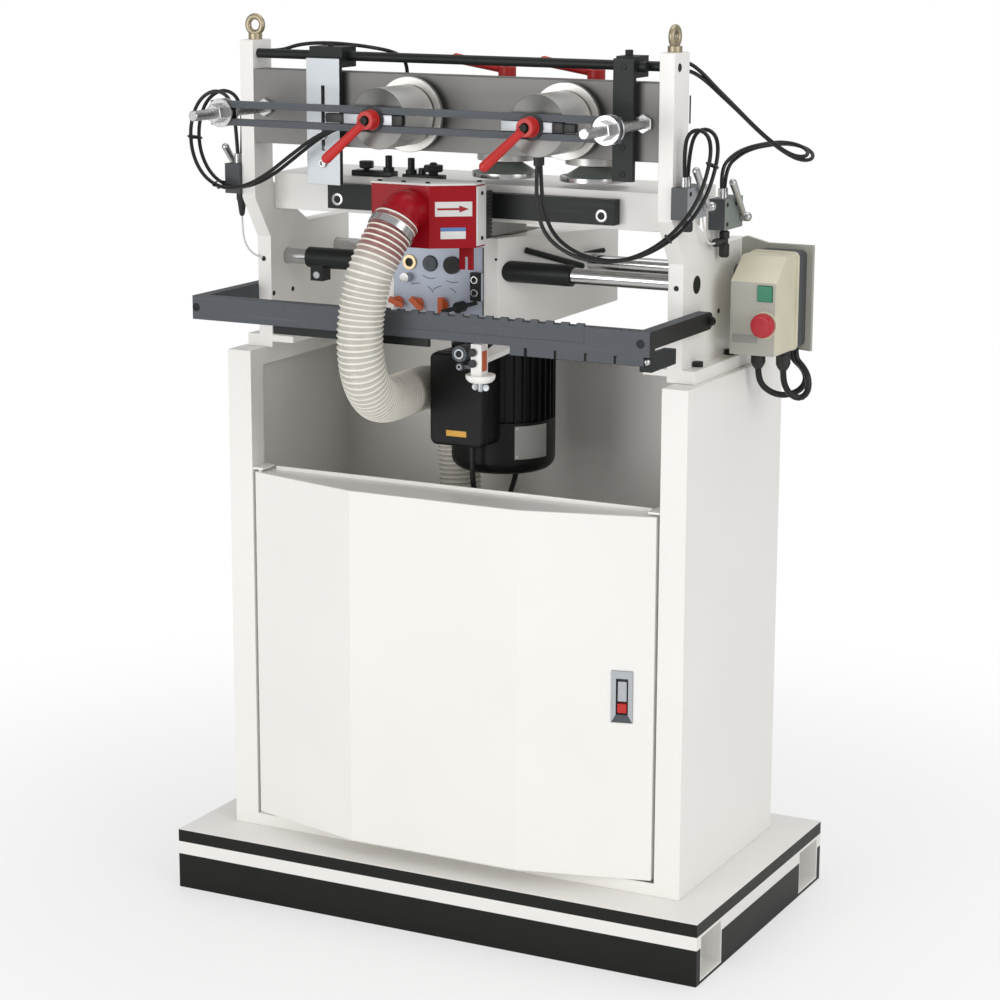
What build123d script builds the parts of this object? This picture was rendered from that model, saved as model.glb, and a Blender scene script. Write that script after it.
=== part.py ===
from build123d import *
import math
import os

# Dovetail machine: a free-standing woodworking machine on a fork-lift base.
# Millimetres, +X right, +Y to the back, +Z up, origin on the floor under the middle of the base.

# Clearances
RUN_GAP = 0.05
SLIDE_GAP = 0.3
SEAT_GAP = 0.2

# Base
BASE_W = 950
BASE_D = 540
BASE_H = 103
DECK_T = 8
RIM_T = 10
POCKET_W = 80
POCKET_H = 68
POCKET_FLOOR = 8
POCKET_Y = 212

# Cabinet
CAB_W = 820
CAB_FRONT = -190
CAB_BACK = 200
CAB_TOP = 917
CAB_WALL = 4
POST_W = 44
POST_RETURN = 38
TOP_T = 8
TOE_H = 21
DECK_FLANGE_H = 28.5
REAR_DECK_D = 60

# Door
DOOR_GAP = 5
DOOR_LIFT = 3.6
DOOR_TOP = 716
DOOR_DEPTH = 35
DOOR_BULGE = 55
DOOR_FLAT = 151
DOOR_SKIN = 3
PIN_R = 3
PIN_INSET_X = 6
PIN_INSET_Y = 7
PIN_REACH = 25
BOSS_SIZE = 14
BOSS_H = 30
TAB_T = 4
TAB_W = 20

# Latch on the right facet of the door
LATCH_W = 30
LATCH_H = 80
LATCH_RIM = 2
LATCH_RIM_T = 1.5
LATCH_BODY_T = 20
LATCH_POCKET_T = 7
LATCH_X = 313
LATCH_Z = 427
BUTTON_W = 15
BUTTON_H = 15
BUTTON_Z = -19
BLADE_W = 14
BLADE_H = 32
BLADE_Z = 8

# Side plates
PLATE_IN = 353
PLATE_T = 25
COLUMN_FRONT = -188
COLUMN_BACK = -132
PLATE_TOP = 1418
STEP_TOP = 1168
STEP_LOW = 1100
LOWER_FRONT = -143
LOWER_BACK = 110
SLOPE_TOP = 1190
SLOPE_MID_Y = -94
SLOPE_MID_Z = 1158
SLOPE_LOW_Y = -23
SLOPE_LOW_Z = 1116
FOOT_T = 21
FOOT_IN = 313
FOOT_OUT = 400
FOOT_LIP_T = 11.5
FOOT_BOLT_X = 386
FOOT_BOLT_Y = (-98, 30)
BOLT_R = 8
BOLT_H = 8
EYE_Y = -160
EYE_RING_R = 13
EYE_WIRE_R = 5
EYE_LIFT = 23
EYE_COLLAR_R = 11
EYE_COLLAR_H = 9
EYE_SHANK = 20

# Beam and stop rod
BEAM_FRONT = -187
BEAM_T = 40
BEAM_LOW = 1256
BEAM_TOP = 1373
ROD_R = 7.5
ROD_Y = -172
ROD_Z = 1397

# Edge stops
STOP_FRONT = -206
STOP_T = 10
STOP_BLOCK_BACK = -152
STOP_BLOCK_LOW = 1380
STOP_BLOCK_TOP = 1412
LEFT_STOP_X = -214
LEFT_STOP_W = 60
LEFT_STOP_LOW = 1197
LEFT_STOP_TOP = 1395
LEFT_SLOT_W = 6
LEFT_SLOT_LOW = 1251
LEFT_SLOT_TOP = 1352
RIGHT_STOP_X = 303
RIGHT_STOP_W = 34
RIGHT_STOP_LOW = 1227
RIGHT_STOP_TOP = 1409
STOP_KNOB_R = 8
STOP_KNOB_L = 14

# Front clamp
STUD_X = 330
STUD_R = 8
STUD_FRONT = -400
CLAMP_Z = 1313
NUT_R = 15
NUT_T = 18
BEAM_NUT_T = 8
WASHER_R = 22
WASHER_T = 4
BAR_FRONT = -321
BAR_T = 12
BAR_H = 38
BAR_HALF = 348
SLOT_H = 17
SLOT_HALF = 340

# Air cylinders, front and rear alike
CYL_R = 46.5
CYL_L = 92
CYL_STAND = 6
STEM_R = 6
STEM_L = 41
PISTON_R = 10
PISTON_L = 24
PISTON_SPARE = 10
FRONT_X = (-60, 208)
FRONT_PAD_R = 58
FRONT_PAD_T = 8
FRONT_PAD_GAP = 3
REAR_X = (54, 207)
REAR_Y = -95
REAR_BAR_Z = 1350
REAR_CYL_L = 104
REAR_BAR_HALF = 310
REAR_ARM_W = 20
REAR_FOOT_H = 50
REAR_PAD_R = 55
REAR_RIM_T = 8
REAR_CONE_T = 14
REAR_CONE_R = 25
REAR_PAD_GAP = 4
HUB_R = 14
HUB_T = 22
HUB_WASHER_R = 20
HUB_WASHER_T = 3
HANDLE_L = 84
HANDLE_ROOT_R = 6
HANDLE_TIP_R = 8
FRONT_HANDLE = (-0.68, -0.25, -0.68)
REAR_HANDLE = (-0.95, -0.2, 0.2)

# Work table
TABLE_FRONT = -129
TABLE_BACK = 40
TABLE_TOP = 1204
TABLE_T = 20
APRON_T = 24
APRON_LOW = 1145
TABLE_BLOCK_IN = 255
TABLE_BLOCK_BACK = -20
FRONT_BAR_T = 20
FRONT_BAR_LEFT = -241
FRONT_BAR_RIGHT = 265
FRONT_BAR_LOW = 1153
FRONT_BAR_TOP = 1192
TABLE_STOP_X = (-195, -130, -72)
TABLE_STOP_W = 44
TABLE_STOP_D = 26
TABLE_STOP_H = 16
TABLE_STOP_Y = -110
TABLE_KNOB_R = 7
TABLE_KNOB_H = 18

# Guide shafts and sleeves
SHAFT_R = 12.5
SHAFT_Z = 1063
SHAFT_Y = (-90, 72)
SHAFT_INSET = 2
SLEEVE_R = 17
SLEEVE_RIGHT = 168
SLEEVE_LEFT = -312
SLEEVE_BLOCK_X = -291
SLEEVE_BLOCK_W = 24
SLEEVE_BLOCK_D = 26
SLEEVE_BLOCK_H = 20

# Carriage
CAR_FRONT = -113
CAR_BACK = 120
CAR_LEFT = -162
CAR_RIGHT = 48
CAR_FLARE = 102
CAR_BOTTOM = 960
CAR_TOP = 1117
CAR_WALL = 20
CAR_ROOF = 12
CAR_RISE = 36
PANEL_LEFT = -140
PANEL_RIGHT = 22
PANEL_LOW = 992
PANEL_TOP = 1101
PANEL_T = 8
PANEL_ROW_Z = 1070
RING_X = -110
RING_R = 12
RING_H = 4
RING_BORE_R = 7
DISC_X = -73
DISC_R = 13
DISC_H = 2
PLUG_X = -33
PLUG_R = 14
PLUG_H = 7
PANEL_NUT_X = -113
PANEL_NUT_Z = 1046
PANEL_NUT_R = 8
PANEL_NUT_H = 16
PANEL_BLOCK_W = 20
PANEL_BLOCK_LOW = 1016
PANEL_BLOCK_TOP = 1061
PANEL_BLOCK_T = 8
SELECTOR_X = (-131, -94, -49)
SELECTOR_TURN = (-20, -40, 90)
SELECTOR_Z = 1005
SELECTOR_R = 9
SELECTOR_T = 5
SELECTOR_PIN_R = 3
POINTER_L = 26
POINTER_W = 9
POINTER_T = 8
PANEL_LEVER_X = -15
PANEL_LEVER_HUB_T = 18
PANEL_LEVER_LEFT = 27
PANEL_LEVER_RIGHT = 38
PANEL_LEVER_W = 7
PANEL_LEVER_T = 6
PANEL_LEVER_TILT = 17
CROSS_R = 7
CROSS_Z = 1016
CROSS_X = (-115, 27.5)

# Head
HEAD_X = 9
HEAD_Y = -15
HEAD_BACKWARD = 45
HEAD_LEFT = -128
HEAD_RIGHT = 43
HEAD_FRONT = -60
HEAD_REAR = 28
HEAD_LOW = 995
HEAD_TOP = 1040
RISER_X = 5
RISER_Y = -25
RISER_HALF_X = 35
RISER_HALF_Y = 33
RISER_ROOM = 5
NECK_R = 50
DRIVE_BORE_R = 11
ARM_LOW = 1119
ARM_H = 21
ARM_R = 36
ARM_TIP_R = 30
ARM_WALL = 8
ARM_SKIN = 3
SPINDLE_X = -10
SPINDLE_Y = -235
QUILL_R = 22
QUILL_H = 33
SPINDLE_R = 10
COLLET_R = 13
COLLET_H = 16
COLLET_GAP = 3
CUTTER_SHANK_R = 4
CUTTER_SHANK_H = 5
CUTTER_H = 9
CUTTER_ROOT_R = 5
CUTTER_TIP_R = 7.5
MOTOR_PULLEY_R = 22
SPINDLE_PULLEY_R = 18
PULLEY_GAP = 1
BELT_T = 3
BELT_SPARE = 1
MOTOR_SHAFT_R = 9.5

# Motor
MOTOR_R = 85
FIN_H = 7
FIN_T = 2.6
FIN_COUNT = 36
MOTOR_TOP = 948
FLANGE_T = 14
MOTOR_LOW = 816
FAN_LOW = 730
FAN_ROUND = 20
SHAFT_DEPTH = 58
TBOX_LEFT = -56
TBOX_RIGHT = 42
TBOX_FRONT = -150
TBOX_LOW = 784
TBOX_TOP = 934
TBOX_ROUND = 12
TBOX_BACK = -74

# Chip hood, curtain and dust port
HOOD_LEFT = -91
HOOD_CORNER = 10.6
HOOD_RIGHT = 68
HOOD_FRONT = -270
HOOD_SIDE_FRONT = -228
HOOD_BACK = -196
HOOD_TOP = 1212
SHEET_T = 3
TAB_LEFT = 24
TAB_RIGHT = 49
TAB_LOW = 1077
TAB_SLOT_W = 5
TAB_SLOT_H = 20
CURTAIN_L = 30
CURTAIN_T = 4
CURTAIN_TEETH = 12
CURTAIN_LIFT = 6
PORT_AT = (-22, -292, 1176)
PORT_DIR = (-0.21, -0.64, -0.74)
PORT_L = 20
PORT_R = 30
PORT_RIM_R = 33.5
PORT_RIM_L = 6
PORT_WALL = 3

# Dust hose, from the port to its open end in the cabinet
HOSE_CREST_R = 36
HOSE_ROOT_R = 33.5
HOSE_BORE_R = 31
HOSE_RIBS = 110
HOSE_MIDDLE = (
    (-56, -360, 1042),
    (-61, -364, 982),
    (-62, -350, 924),
    (-70, -306, 884),
    (-84, -246, 868),
    (-98, -176, 863),
    (-110, -104, 860),
    (-121, -34, 855),
    (-126, 30, 832),
    (-122, 66, 778),
    (-118, 72, 710),
    (-116, 70, 640),
    (-114, 70, 572),
)

# Template frame and comb
TEMPLATE_FRONT = -309
TEMPLATE_T = 20
TEMPLATE_LOW = 983.5
TEMPLATE_TOP = 1021.5
TEMPLATE_ARM_LOW = 994
TEMPLATE_BOLT_Y = -84
TEMPLATE_BOLT_R = 7
TEMPLATE_BOLT_H = 6
STRIP_LOW = 969.5
STRIP_T = 8
PLAIN_STRIP_X = (-253, 25)
SLOTTED_STRIP_X = (168, 389)
STRIP_SLOT_X = (194.7, 244.5, 294.4, 342.8)
STRIP_SLOT_W = 4
STRIP_SLOT_H = 12.5
REST_FRONT = -301
REST_BACK = -211
REST_LOW = 960
COMB_PITCH = 25.4
COMB_COUNT = 14
COMB_FIRST_X = -45.2
COMB_T = 6
COMB_LOW = 997.5
FINGER_W = 12.7
FINGER_H = 4.8

# Follower under the template
FOLLOWER_X = 103
FOLLOWER_Y = -282
FOLLOWER_W = 18
FOLLOWER_D = 22
FOLLOWER_LOW = 925
FOLLOWER_TOP = 979
FOLLOWER_ARM_T = 8
BUSH_X = 75
BUSH_Z = 962
BUSH_R = 12.5
BUSH_L = 26
SMALL_BUSH_R = 6
SMALL_BUSH_DROP = 20
LINK_INSET = 3
FOLLOWER_DISC_R = 14
FOLLOWER_DISC_T = 4

# Switch box
SWITCH_LEFT = 414
SWITCH_RIGHT = 489
SWITCH_FRONT = -42
SWITCH_COVER_D = 92
SWITCH_LOW = 952
SWITCH_TOP = 1102
SWITCH_SLOPE_D = 46
SWITCH_SLOPE_H = 36
SWITCH_BASE_D = 37
SWITCH_BASE_RIM = 2
SWITCH_EAR_T = 8
SWITCH_EAR_RIM = 9
SWITCH_EAR_TOP = 1120
START_X = 471
START_Z = 1049
START_W = 24
START_STAND = 2
START_DEPTH = 10
STOP_X = 472
STOP_Z = 1001
STOP_HEAD_R = 19
STOP_HEAD_T = 12
STOP_STEM_R = 9
STOP_STEM_L = 24
STOP_HEAD_GAP = 5
GLAND_R = 11
GLAND_H = 22
GLAND_Y = 36
GLAND_X = (432, 474)
CORD_R = 5

# Hand valves
VALVE_T = 28
VALVE_L = 72
VALVE_H = 48
VALVE_FRONT_Y = -195
VALVE_FRONT_Z = 1173
VALVE_SIDE_Y = -50
VALVE_SIDE_Z = 1143
FITTING_R = 5.5
FITTING_H = 15
FITTING_INSET = 18
FITTING_PITCH = 12
LEVER_PIN_R = 4
LEVER_PIN_L = 12
LEVER_HUB_R = 7
LEVER_HUB_T = 12
LEVER_INSET_Y = 8
LEVER_INSET_Z = 16
LEVER_L = 76
LEVER_ROOT_R = 4
LEVER_TIP_R = 6
LEVER_DIR = (0.0, -0.66, 0.75)
EAR_T = 8
EAR_INSET = 8

# Air tubes and the motor lead
TUBE_R = 3
NIPPLE_R = 5.5
NIPPLE_L = 13
LEAD_R = 4.5

# Working values
FRONT_FACE_X = CAB_W / 2 - POST_W
DOOR_HALF = FRONT_FACE_X - DOOR_GAP
DOOR_BACK = CAB_FRONT + DOOR_DEPTH
DOOR_LOW = BASE_H + TOE_H + DOOR_LIFT
PLATE_OUT = PLATE_IN + PLATE_T
FOOT_TOP = CAB_TOP + FOOT_T
BEAM_BACK = BEAM_FRONT + BEAM_T
BAR_BACK = BAR_FRONT + BAR_T
CYL_FRONT = BAR_BACK + CYL_STAND
CYL_BACK = CYL_FRONT + CYL_L
PAD_FRONT = CYL_BACK + FRONT_PAD_GAP
REAR_CYL_TOP = REAR_BAR_Z - CYL_STAND
REAR_CYL_LOW = REAR_CYL_TOP - REAR_CYL_L
REAR_PAD_TOP = REAR_CYL_LOW - REAR_PAD_GAP
ARM_TOP = ARM_LOW + ARM_H
PULLEY_LOW = ARM_LOW + ARM_SKIN + PULLEY_GAP
PULLEY_TOP = ARM_TOP - ARM_SKIN - PULLEY_GAP
QUILL_TOP = ARM_TOP + QUILL_H
TEMPLATE_OUT = PLATE_OUT + TEMPLATE_T
TEMPLATE_MID = (TEMPLATE_ARM_LOW + TEMPLATE_TOP) / 2
ARM_ROUND = (TEMPLATE_TOP - TEMPLATE_ARM_LOW) / 2
SWITCH_COVER_BACK = SWITCH_FRONT + SWITCH_COVER_D
SWITCH_BASE_BACK = SWITCH_COVER_BACK + SWITCH_BASE_D
VALVE_OUT = PLATE_OUT + VALVE_T
SIDES = (-1, 1)
BOTTOM = (Align.CENTER, Align.CENTER, Align.MIN)


# Helper shapes

def block(x, y, z):
    """Box between pairs of limits."""
    limits = [sorted(pair) for pair in (x, y, z)]
    size = [high - low for low, high in limits]
    middle = [(high + low) / 2 for low, high in limits]
    return Pos(*middle) * Box(*size)


def rod(start, end, radius):
    """Round bar between two points."""
    a = Vector(*start)
    b = Vector(*end)
    return Plane(origin=a, z_dir=b - a) * Cylinder(radius, (b - a).length, align=BOTTOM)


def prism(points, axis, start, end):
    """Straight prism: an outline of the two other coordinates, carried along one axis."""
    spot = "xyz".index(axis)
    corners = [(*pair[:spot], start, *pair[spot:]) for pair in points]
    way = tuple(int(index == spot) for index in range(3))
    return extrude(Face(Wire.make_polygon(corners, close=True)), amount=end - start, dir=way)


def hull_prism(circles, low, high):
    """Upright prism round two circles, each given as x, y and radius."""
    rims = [Pos(x, y) * CenterArc((0, 0), radius, 0, 360) for x, y, radius in circles]
    return extrude(Pos(0, 0, low) * make_hull(rims), amount=high - low, dir=(0, 0, 1))


def handle(origin, direction, length, root, tip):
    """Tapered grip with a round end."""
    plane = Plane(origin=origin, z_dir=direction)
    return plane * Cone(root, tip, length, align=BOTTOM) + plane * Pos(0, 0, length) * Sphere(tip)


def corner_radii(points):
    """Radius at each corner of a cord's route: 0.45 of the shorter run over the tangent of half the turn."""
    radii = []
    for before, here, after in zip(points, points[1:], points[2:]):
        run_in = Vector(*here) - Vector(*before)
        run_out = Vector(*after) - Vector(*here)
        half_turn = math.radians(run_in.get_angle(run_out)) / 2
        radii.append(0.45 * min(run_in.length, run_out.length) / math.tan(half_turn))
    return radii


def route_path(points):
    """Straight runs joined by tangent arcs."""
    return FilletPolyline(*points, radius=corner_radii(points))


def cord(name, points, radius):
    """Round tube along a route."""
    path = route_path(points)
    section = Plane(origin=path @ 0, z_dir=path % 0) * Circle(radius)
    tube = sweep(section, path=path)
    radii = corner_radii(points)
    share = tube.volume / (math.pi * radius**2 * path.length)
    print(f"{name}: length {path.length:.0f}, least radius {min(radii):.0f}, volume share {share:.4f}")
    return tube


def shifted(points, offset):
    """A route moved sideways."""
    return [tuple(a + b for a, b in zip(point, offset)) for point in points]


# Base and cabinet

def pallet_base():
    """Welded platform with two fork pockets along X and a closed hollow in the middle."""
    base = block((-BASE_W / 2, BASE_W / 2), (-BASE_D / 2, BASE_D / 2), (0, BASE_H))
    for side in SIDES:
        reach = (side * POCKET_Y - POCKET_W / 2, side * POCKET_Y + POCKET_W / 2)
        base -= block((-BASE_W, BASE_W), reach, (POCKET_FLOOR, POCKET_FLOOR + POCKET_H))
    room_x = BASE_W / 2 - RIM_T
    room_y = POCKET_Y - POCKET_W / 2 - RIM_T
    return base - block((-room_x, room_x), (-room_y, room_y), (POCKET_FLOOR, BASE_H - DECK_T))


def cabinet_shell():
    """Sheet box, open in front between the posts and above between the side decks, with the door's hinges."""
    half = CAB_W / 2
    inner = half - CAB_WALL
    shell = block((-half, half), (CAB_FRONT, CAB_BACK), (BASE_H, CAB_TOP))
    shell -= block(
        (-inner, inner), (CAB_FRONT + CAB_WALL, CAB_BACK - CAB_WALL), (BASE_H + CAB_WALL, CAB_TOP - TOP_T)
    )
    opening = (-FRONT_FACE_X, FRONT_FACE_X)
    shell -= block(opening, (CAB_FRONT - 1, CAB_FRONT + CAB_WALL), (BASE_H + TOE_H, CAB_TOP + 1))
    shell -= block(opening, (CAB_FRONT - 1, CAB_BACK - REAR_DECK_D), (CAB_TOP - TOP_T - 1, CAB_TOP + 1))
    for side in SIDES:
        strip = (side * FRONT_FACE_X, side * (FRONT_FACE_X + CAB_WALL))
        shell += block(strip, (CAB_FRONT, CAB_FRONT + POST_RETURN), (BASE_H + CAB_WALL, CAB_TOP))
        shell += block(strip, (CAB_FRONT, CAB_BACK - CAB_WALL), (CAB_TOP - DECK_FLANGE_H, CAB_TOP))
    return Compound([shell, *door_hinges()])


# Door and latch

def door_outline(inset):
    """Plan of the door, with the bowed front in three facets."""
    half = DOOR_HALF - inset
    back = DOOR_BACK - inset
    front = CAB_FRONT + inset
    return [
        (-half, back),
        (-half, front),
        (-DOOR_FLAT, front - DOOR_BULGE),
        (DOOR_FLAT, front - DOOR_BULGE),
        (half, front),
        (half, back),
    ]


def latch_plane():
    """Plane on the right facet: X along the facet, Y up, Z outwards."""
    run = DOOR_HALF - DOOR_FLAT
    length = math.hypot(run, DOOR_BULGE)
    y = CAB_FRONT - DOOR_BULGE * (DOOR_HALF - LATCH_X) / run
    return Plane(
        origin=(LATCH_X, y, LATCH_Z),
        x_dir=(run / length, DOOR_BULGE / length, 0),
        z_dir=(DOOR_BULGE / length, -run / length, 0),
    )


def latch_box(width, height, low, high, z=0):
    """Box on the latch plane, centred across it."""
    return latch_plane() * block((-width / 2, width / 2), (z - height / 2, z + height / 2), (low, high))


def hinge_axis():
    return (-DOOR_HALF + PIN_INSET_X, CAB_FRONT + PIN_INSET_Y)


def door_panel():
    """Bowed hollow panel with a bored boss for each pivot pin."""
    door = prism(door_outline(0), "z", DOOR_LOW, DOOR_TOP)
    door -= prism(door_outline(DOOR_SKIN), "z", DOOR_LOW + DOOR_SKIN, DOOR_TOP - DOOR_SKIN)
    corner_x = (-DOOR_HALF, -DOOR_HALF + BOSS_SIZE)
    corner_y = (CAB_FRONT, CAB_FRONT + BOSS_SIZE)
    door += block(corner_x, corner_y, (DOOR_LOW, DOOR_LOW + BOSS_H))
    door += block(corner_x, corner_y, (DOOR_TOP - BOSS_H, DOOR_TOP))
    x, y = hinge_axis()
    door -= rod((x, y, DOOR_LOW - 1), (x, y, DOOR_LOW + PIN_REACH + 1), PIN_R + RUN_GAP)
    door -= rod((x, y, DOOR_TOP - PIN_REACH - 1), (x, y, DOOR_TOP + 1), PIN_R + RUN_GAP)
    return door - latch_box(LATCH_W + 2 * SEAT_GAP, LATCH_H + 2 * SEAT_GAP, -LATCH_BODY_T, 10)


def door_hinges():
    """Lower pin on the toe, upper pin on a tab from the post, and a plain stop tab at the other post."""
    x, y = hinge_axis()
    toe_top = BASE_H + TOE_H
    lower = rod((x, y, toe_top), (x, y, DOOR_LOW + PIN_REACH), PIN_R)
    toe_y = (CAB_FRONT, CAB_FRONT + POST_RETURN)
    lower += block((-FRONT_FACE_X, -FRONT_FACE_X + TAB_W), toe_y, (toe_top - TAB_T, toe_top))
    tab_z = (DOOR_TOP + DOOR_LIFT, DOOR_TOP + DOOR_LIFT + TAB_T)
    upper = block((-FRONT_FACE_X, -FRONT_FACE_X + TAB_W), toe_y, tab_z)
    upper += rod((x, y, DOOR_TOP - PIN_REACH), (x, y, tab_z[0] + TAB_T / 2), PIN_R)
    stop = block((FRONT_FACE_X - TAB_W, FRONT_FACE_X), toe_y, tab_z)
    lower -= block((-CAB_W, CAB_W), (CAB_FRONT - 1, CAB_FRONT + CAB_WALL), (BASE_H, toe_top))
    return [lower, upper, stop]


def latch_plate():
    """Rimmed latch housing with a pocket, a raised blade and a square hole for the button."""
    plate = latch_box(LATCH_W, LATCH_H, -LATCH_BODY_T, LATCH_RIM_T)
    plate += latch_box(LATCH_W + 2 * LATCH_RIM, LATCH_H + 2 * LATCH_RIM, 0, LATCH_RIM_T)
    wall = (LATCH_W - BUTTON_W) / 2 - 2
    plate -= latch_box(LATCH_W - 2 * wall, LATCH_H - 4 * wall, -LATCH_POCKET_T, LATCH_RIM_T + 1)
    plate += latch_box(BLADE_W, BLADE_H, -LATCH_POCKET_T - 1, -1, BLADE_Z)
    hole_w = BUTTON_W + 2 * SLIDE_GAP
    hole_h = BUTTON_H + 2 * SLIDE_GAP
    return plate - latch_box(hole_w, hole_h, -LATCH_BODY_T - 1, LATCH_RIM_T + 1, BUTTON_Z)


def latch_button():
    return latch_box(BUTTON_W, BUTTON_H, -LATCH_POCKET_T - 6, 1, BUTTON_Z)


# Upper frame

def side_plate(side):
    """Upright plate with a foot; the right one also carries the switch and the side valve."""
    outline = [
        (LOWER_FRONT, CAB_TOP),
        (LOWER_FRONT, STEP_LOW),
        (COLUMN_FRONT, STEP_TOP),
        (COLUMN_FRONT, PLATE_TOP),
        (COLUMN_BACK, PLATE_TOP),
        (COLUMN_BACK, SLOPE_TOP),
        (SLOPE_MID_Y, SLOPE_MID_Z),
        (SLOPE_LOW_Y, SLOPE_LOW_Z),
        (LOWER_BACK, SLOPE_LOW_Z),
        (LOWER_BACK, CAB_TOP),
    ]
    plate = prism(outline, "x", PLATE_IN, PLATE_OUT)
    plate += block((PLATE_IN, FOOT_OUT), (LOWER_FRONT, LOWER_BACK), (CAB_TOP, FOOT_TOP))
    plate += block((FOOT_IN, PLATE_IN), (LOWER_FRONT, LOWER_BACK), (FOOT_TOP - FOOT_LIP_T, FOOT_TOP))
    for y in SHAFT_Y:
        plate -= rod((PLATE_IN - 1, y, SHAFT_Z), (PLATE_OUT + 1, y, SHAFT_Z), SHAFT_R + RUN_GAP)
    eye_x = PLATE_IN + PLATE_T / 2
    shank_r = EYE_WIRE_R + RUN_GAP
    plate -= rod((eye_x, EYE_Y, PLATE_TOP - EYE_SHANK - 1), (eye_x, EYE_Y, PLATE_TOP + 1), shank_r)
    if side < 0:
        return mirror(plate, about=Plane.YZ)
    ear_y = (VALVE_SIDE_Y + EAR_INSET, VALVE_SIDE_Y + VALVE_L - EAR_INSET)
    ear_z = (SLOPE_LOW_Z - 2 * EAR_INSET, VALVE_SIDE_Z + VALVE_H - EAR_INSET)
    plate += block((PLATE_OUT - EAR_T, PLATE_OUT), ear_y, ear_z)
    ear_right = SWITCH_RIGHT + SWITCH_BASE_RIM + SWITCH_EAR_RIM
    ear = [
        (PLATE_OUT - 1, SWITCH_LOW),
        (ear_right, SWITCH_LOW - SWITCH_EAR_RIM),
        (ear_right, SWITCH_TOP + SWITCH_EAR_RIM),
        (SWITCH_LEFT + SWITCH_EAR_RIM, SWITCH_TOP + SWITCH_EAR_RIM),
        (PLATE_OUT + SWITCH_EAR_RIM, SWITCH_EAR_TOP),
        (PLATE_OUT, SLOPE_LOW_Z),
        (PLATE_OUT - 1, SLOPE_LOW_Z),
    ]
    return plate + prism(ear, "y", SWITCH_BASE_BACK, SWITCH_BASE_BACK + SWITCH_EAR_T)


def frame_fasteners():
    """Heads of the foot bolts and template arm bolts, and a lifting eye in the top of each side plate."""
    bolts = []
    for side in SIDES:
        for y in FOOT_BOLT_Y:
            x = side * FOOT_BOLT_X
            bolts.append(rod((x, y, FOOT_TOP), (x, y, FOOT_TOP + BOLT_H), BOLT_R))
        head = (side * TEMPLATE_OUT, side * (TEMPLATE_OUT + TEMPLATE_BOLT_H))
        bolts.append(rod(*[(x, TEMPLATE_BOLT_Y, TEMPLATE_MID) for x in head], TEMPLATE_BOLT_R))
        x = side * (PLATE_IN + PLATE_T / 2)
        eye = rod((x, EYE_Y, PLATE_TOP - EYE_SHANK), (x, EYE_Y, PLATE_TOP), EYE_WIRE_R)
        eye += rod((x, EYE_Y, PLATE_TOP), (x, EYE_Y, PLATE_TOP + EYE_COLLAR_H), EYE_COLLAR_R)
        eye += Pos(x, EYE_Y, PLATE_TOP + EYE_LIFT) * Rot(90, 0, 0) * Torus(EYE_RING_R, EYE_WIRE_R)
        bolts.append(eye)
    return Compound(bolts)


def clamp_beam():
    """Beam between the side plates and the stop rod above it."""
    beam = block((-PLATE_IN, PLATE_IN), (BEAM_FRONT, BEAM_BACK), (BEAM_LOW, BEAM_TOP))
    return Compound([beam, rod((-PLATE_IN, ROD_Y, ROD_Z), (PLATE_IN, ROD_Y, ROD_Z), ROD_R)])


def edge_stop(x, width, low, top):
    """Flat stop hung on the rod by a bored block."""
    sides = (x - width / 2, x + width / 2)
    stop = block(sides, (STOP_FRONT, STOP_FRONT + STOP_T), (low, top))
    stop += block(sides, (STOP_FRONT + STOP_T, STOP_BLOCK_BACK), (STOP_BLOCK_LOW, STOP_BLOCK_TOP))
    return stop - rod((sides[0] - 1, ROD_Y, ROD_Z), (sides[1] + 1, ROD_Y, ROD_Z), ROD_R + RUN_GAP)


def left_edge_stop():
    stop = edge_stop(LEFT_STOP_X, LEFT_STOP_W, LEFT_STOP_LOW, LEFT_STOP_TOP)
    slot_x = (LEFT_STOP_X - LEFT_SLOT_W / 2, LEFT_STOP_X + LEFT_SLOT_W / 2)
    slot_y = (STOP_FRONT - 1, STOP_FRONT + STOP_T + 1)
    return stop - block(slot_x, slot_y, (LEFT_SLOT_LOW, LEFT_SLOT_TOP))


def right_edge_stop():
    stop = edge_stop(RIGHT_STOP_X, RIGHT_STOP_W, RIGHT_STOP_LOW, RIGHT_STOP_TOP)
    face = RIGHT_STOP_X + RIGHT_STOP_W / 2
    middle = (STOP_FRONT + STOP_T + ROD_Y - ROD_R) / 2
    return stop + rod((face, middle, ROD_Z), (face + STOP_KNOB_L, middle, ROD_Z), STOP_KNOB_R)


# Clamps

def front_clamp_studs():
    """Threaded studs from the beam, each with nuts and wide washers at the bar and a nut at the beam."""
    studs = []
    for side in SIDES:
        x = side * STUD_X
        stud = rod((x, STUD_FRONT, CLAMP_Z), (x, BEAM_FRONT, CLAMP_Z), STUD_R)
        for face, way in ((BAR_FRONT, -1), (BAR_BACK, 1)):
            washer = face + way * WASHER_T
            stud += rod((x, face, CLAMP_Z), (x, washer, CLAMP_Z), WASHER_R)
            stud += rod((x, washer, CLAMP_Z), (x, washer + way * NUT_T, CLAMP_Z), NUT_R)
        stud += rod((x, BEAM_FRONT - BEAM_NUT_T, CLAMP_Z), (x, BEAM_FRONT, CLAMP_Z), NUT_R)
        studs.append(stud)
    return Compound(studs)


def front_clamp_bar():
    """Slotted bar that carries the front cylinders."""
    bar = block((-BAR_HALF, BAR_HALF), (BAR_FRONT, BAR_BACK), (CLAMP_Z - BAR_H / 2, CLAMP_Z + BAR_H / 2))
    slot = (CLAMP_Z - SLOT_H / 2, CLAMP_Z + SLOT_H / 2)
    return bar - block((-SLOT_HALF, SLOT_HALF), (BAR_FRONT - 1, BAR_BACK + 1), slot)


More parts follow.
